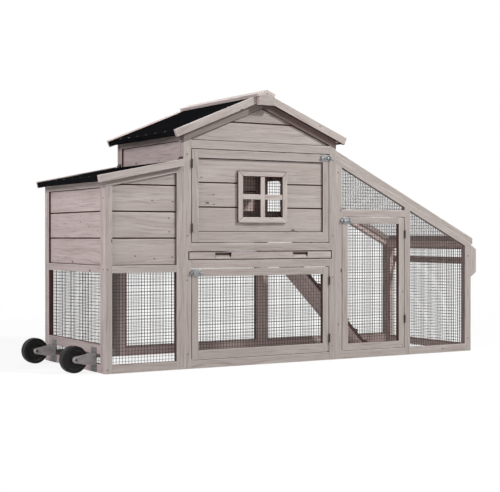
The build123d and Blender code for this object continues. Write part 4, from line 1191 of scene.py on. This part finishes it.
def light_path_seen(tree):
    """One where a ray comes from the camera, a reflection or a transmission, else nought."""
    path = tree.nodes.new("ShaderNodeLightPath")
    total = path.outputs["Is Camera Ray"]
    for name in ("Is Glossy Ray", "Is Transmission Ray"):
        larger = tree.nodes.new("ShaderNodeMath")
        larger.operation = "MAXIMUM"
        tree.links.new(total, larger.inputs[0])
        tree.links.new(path.outputs[name], larger.inputs[1])
        total = larger.outputs[0]
    return total


def make_floor():
    """Wide pale floor that keeps the shadow; to the camera it is near white and fades into the backdrop."""
    g = Graph("pale_floor")
    nodes = g.tree.nodes
    output = nodes["Material Output"]
    nodes.remove(g.shader)
    place = g.position()
    speck = g.noise(place, scale=30, detail=3)
    tint = g.ramp(speck, [(0.0, (0.13, 0.13, 0.13, 1)), (1.0, (0.15, 0.15, 0.15, 1))])
    soft = nodes.new("ShaderNodeBsdfDiffuse")
    g.feed(soft.inputs["Color"], tint)
    glow = nodes.new("ShaderNodeEmission")
    glow.inputs["Strength"].default_value = FLOOR_GLOW
    near = nodes.new("ShaderNodeAddShader")
    g.feed(near.inputs[0], soft.outputs[0])
    g.feed(near.inputs[1], glow.outputs[0])
    white = nodes.new("ShaderNodeEmission")
    reach = g.node("ShaderNodeVectorMath", operation="LENGTH")
    g.feed(reach.inputs[0], place)
    fade = nodes.new("ShaderNodeMixShader")
    g.feed(fade.inputs[0], g.span(reach.outputs["Value"], *FLOOR_FADE))
    g.feed(fade.inputs[1], near.outputs[0])
    g.feed(fade.inputs[2], white.outputs[0])
    plain = nodes.new("ShaderNodeBsdfDiffuse")
    plain.inputs["Color"].default_value = (FLOOR_BOUNCE, FLOOR_BOUNCE, FLOOR_BOUNCE, 1)
    choice = nodes.new("ShaderNodeMixShader")
    g.feed(choice.inputs[0], light_path_seen(g.tree))
    g.feed(choice.inputs[1], plain.outputs[0])
    g.feed(choice.inputs[2], fade.outputs[0])
    g.feed(output.inputs["Surface"], choice.outputs[0])
    mesh = bpy.data.meshes.new("studio_floor")
    corners = [(-1, -1), (1, -1), (1, 1), (-1, 1)]
    mesh.from_pydata([(x * FLOOR_HALF, y * FLOOR_HALF, 0) for x, y in corners], [], [[0, 1, 2, 3]])
    mesh.materials.append(g.material)
    floor = bpy.data.objects.new("studio_floor", mesh)
    bpy.context.scene.collection.objects.link(floor)


def make_world():
    """Even studio light, white where it is seen directly."""
    world = bpy.data.worlds.new("studio")
    world.use_nodes = True
    bpy.context.scene.world = world
    tree = world.node_tree
    tree.nodes.clear()
    output = tree.nodes.new("ShaderNodeOutputWorld")
    fill = tree.nodes.new("ShaderNodeBackground")
    fill.inputs["Strength"].default_value = WORLD_FILL
    white = tree.nodes.new("ShaderNodeBackground")
    for background in (fill, white):
        background.inputs["Color"].default_value = (1, 1, 1, 1)
    choice = tree.nodes.new("ShaderNodeMixShader")
    tree.links.new(light_path_seen(tree), choice.inputs[0])
    tree.links.new(fill.outputs[0], choice.inputs[1])
    tree.links.new(white.outputs[0], choice.inputs[2])
    tree.links.new(choice.outputs[0], output.inputs["Surface"])


def soft_lamp(name, place, size, power, colour):
    """Round area lamp, turned to the middle of the object."""
    lamp = bpy.data.lights.new(name, "AREA")
    lamp.shape = "DISK"
    lamp.size = size
    lamp.energy = power
    lamp.color = colour
    obj = bpy.data.objects.new(name, lamp)
    obj.location = place
    obj.rotation_euler = (Vector(LAMP_TARGET) - Vector(place)).to_track_quat("-Z", "Y").to_euler()
    bpy.context.scene.collection.objects.link(obj)


def make_camera():
    """Camera at the photograph's viewing angle."""
    data = bpy.data.cameras.new("photo_camera")
    data.lens = CAMERA_LENS
    data.sensor_width = CAMERA_SENSOR
    data.sensor_fit = "HORIZONTAL"
    data.clip_end = 100
    camera = bpy.data.objects.new("photo_camera", data)
    camera.location = CAMERA_PLACE
    camera.rotation_euler = (math.radians(CAMERA_TILT), 0, math.radians(CAMERA_TURN))
    bpy.context.scene.collection.objects.link(camera)
    bpy.context.scene.camera = camera


make_floor()
make_world()
soft_lamp("key_lamp", place=(2.4, -3.2, 3.9), size=0.6, power=240, colour=(1.0, 1.0, 0.99))
soft_lamp("front_lamp", place=(-2.4, -4.4, 0.8), size=1.6, power=16, colour=(1.0, 0.99, 0.985))
soft_lamp("back_lamp", place=(1.6, 4.6, 3.2), size=2.6, power=78, colour=(1.0, 1.0, 1.0))
soft_lamp("left_lamp", place=(-4.2, -0.9, 2.5), size=2.0, power=134, colour=(1.0, 0.9, 0.965))
make_camera()
bpy.context.scene.view_settings.view_transform = "Standard"
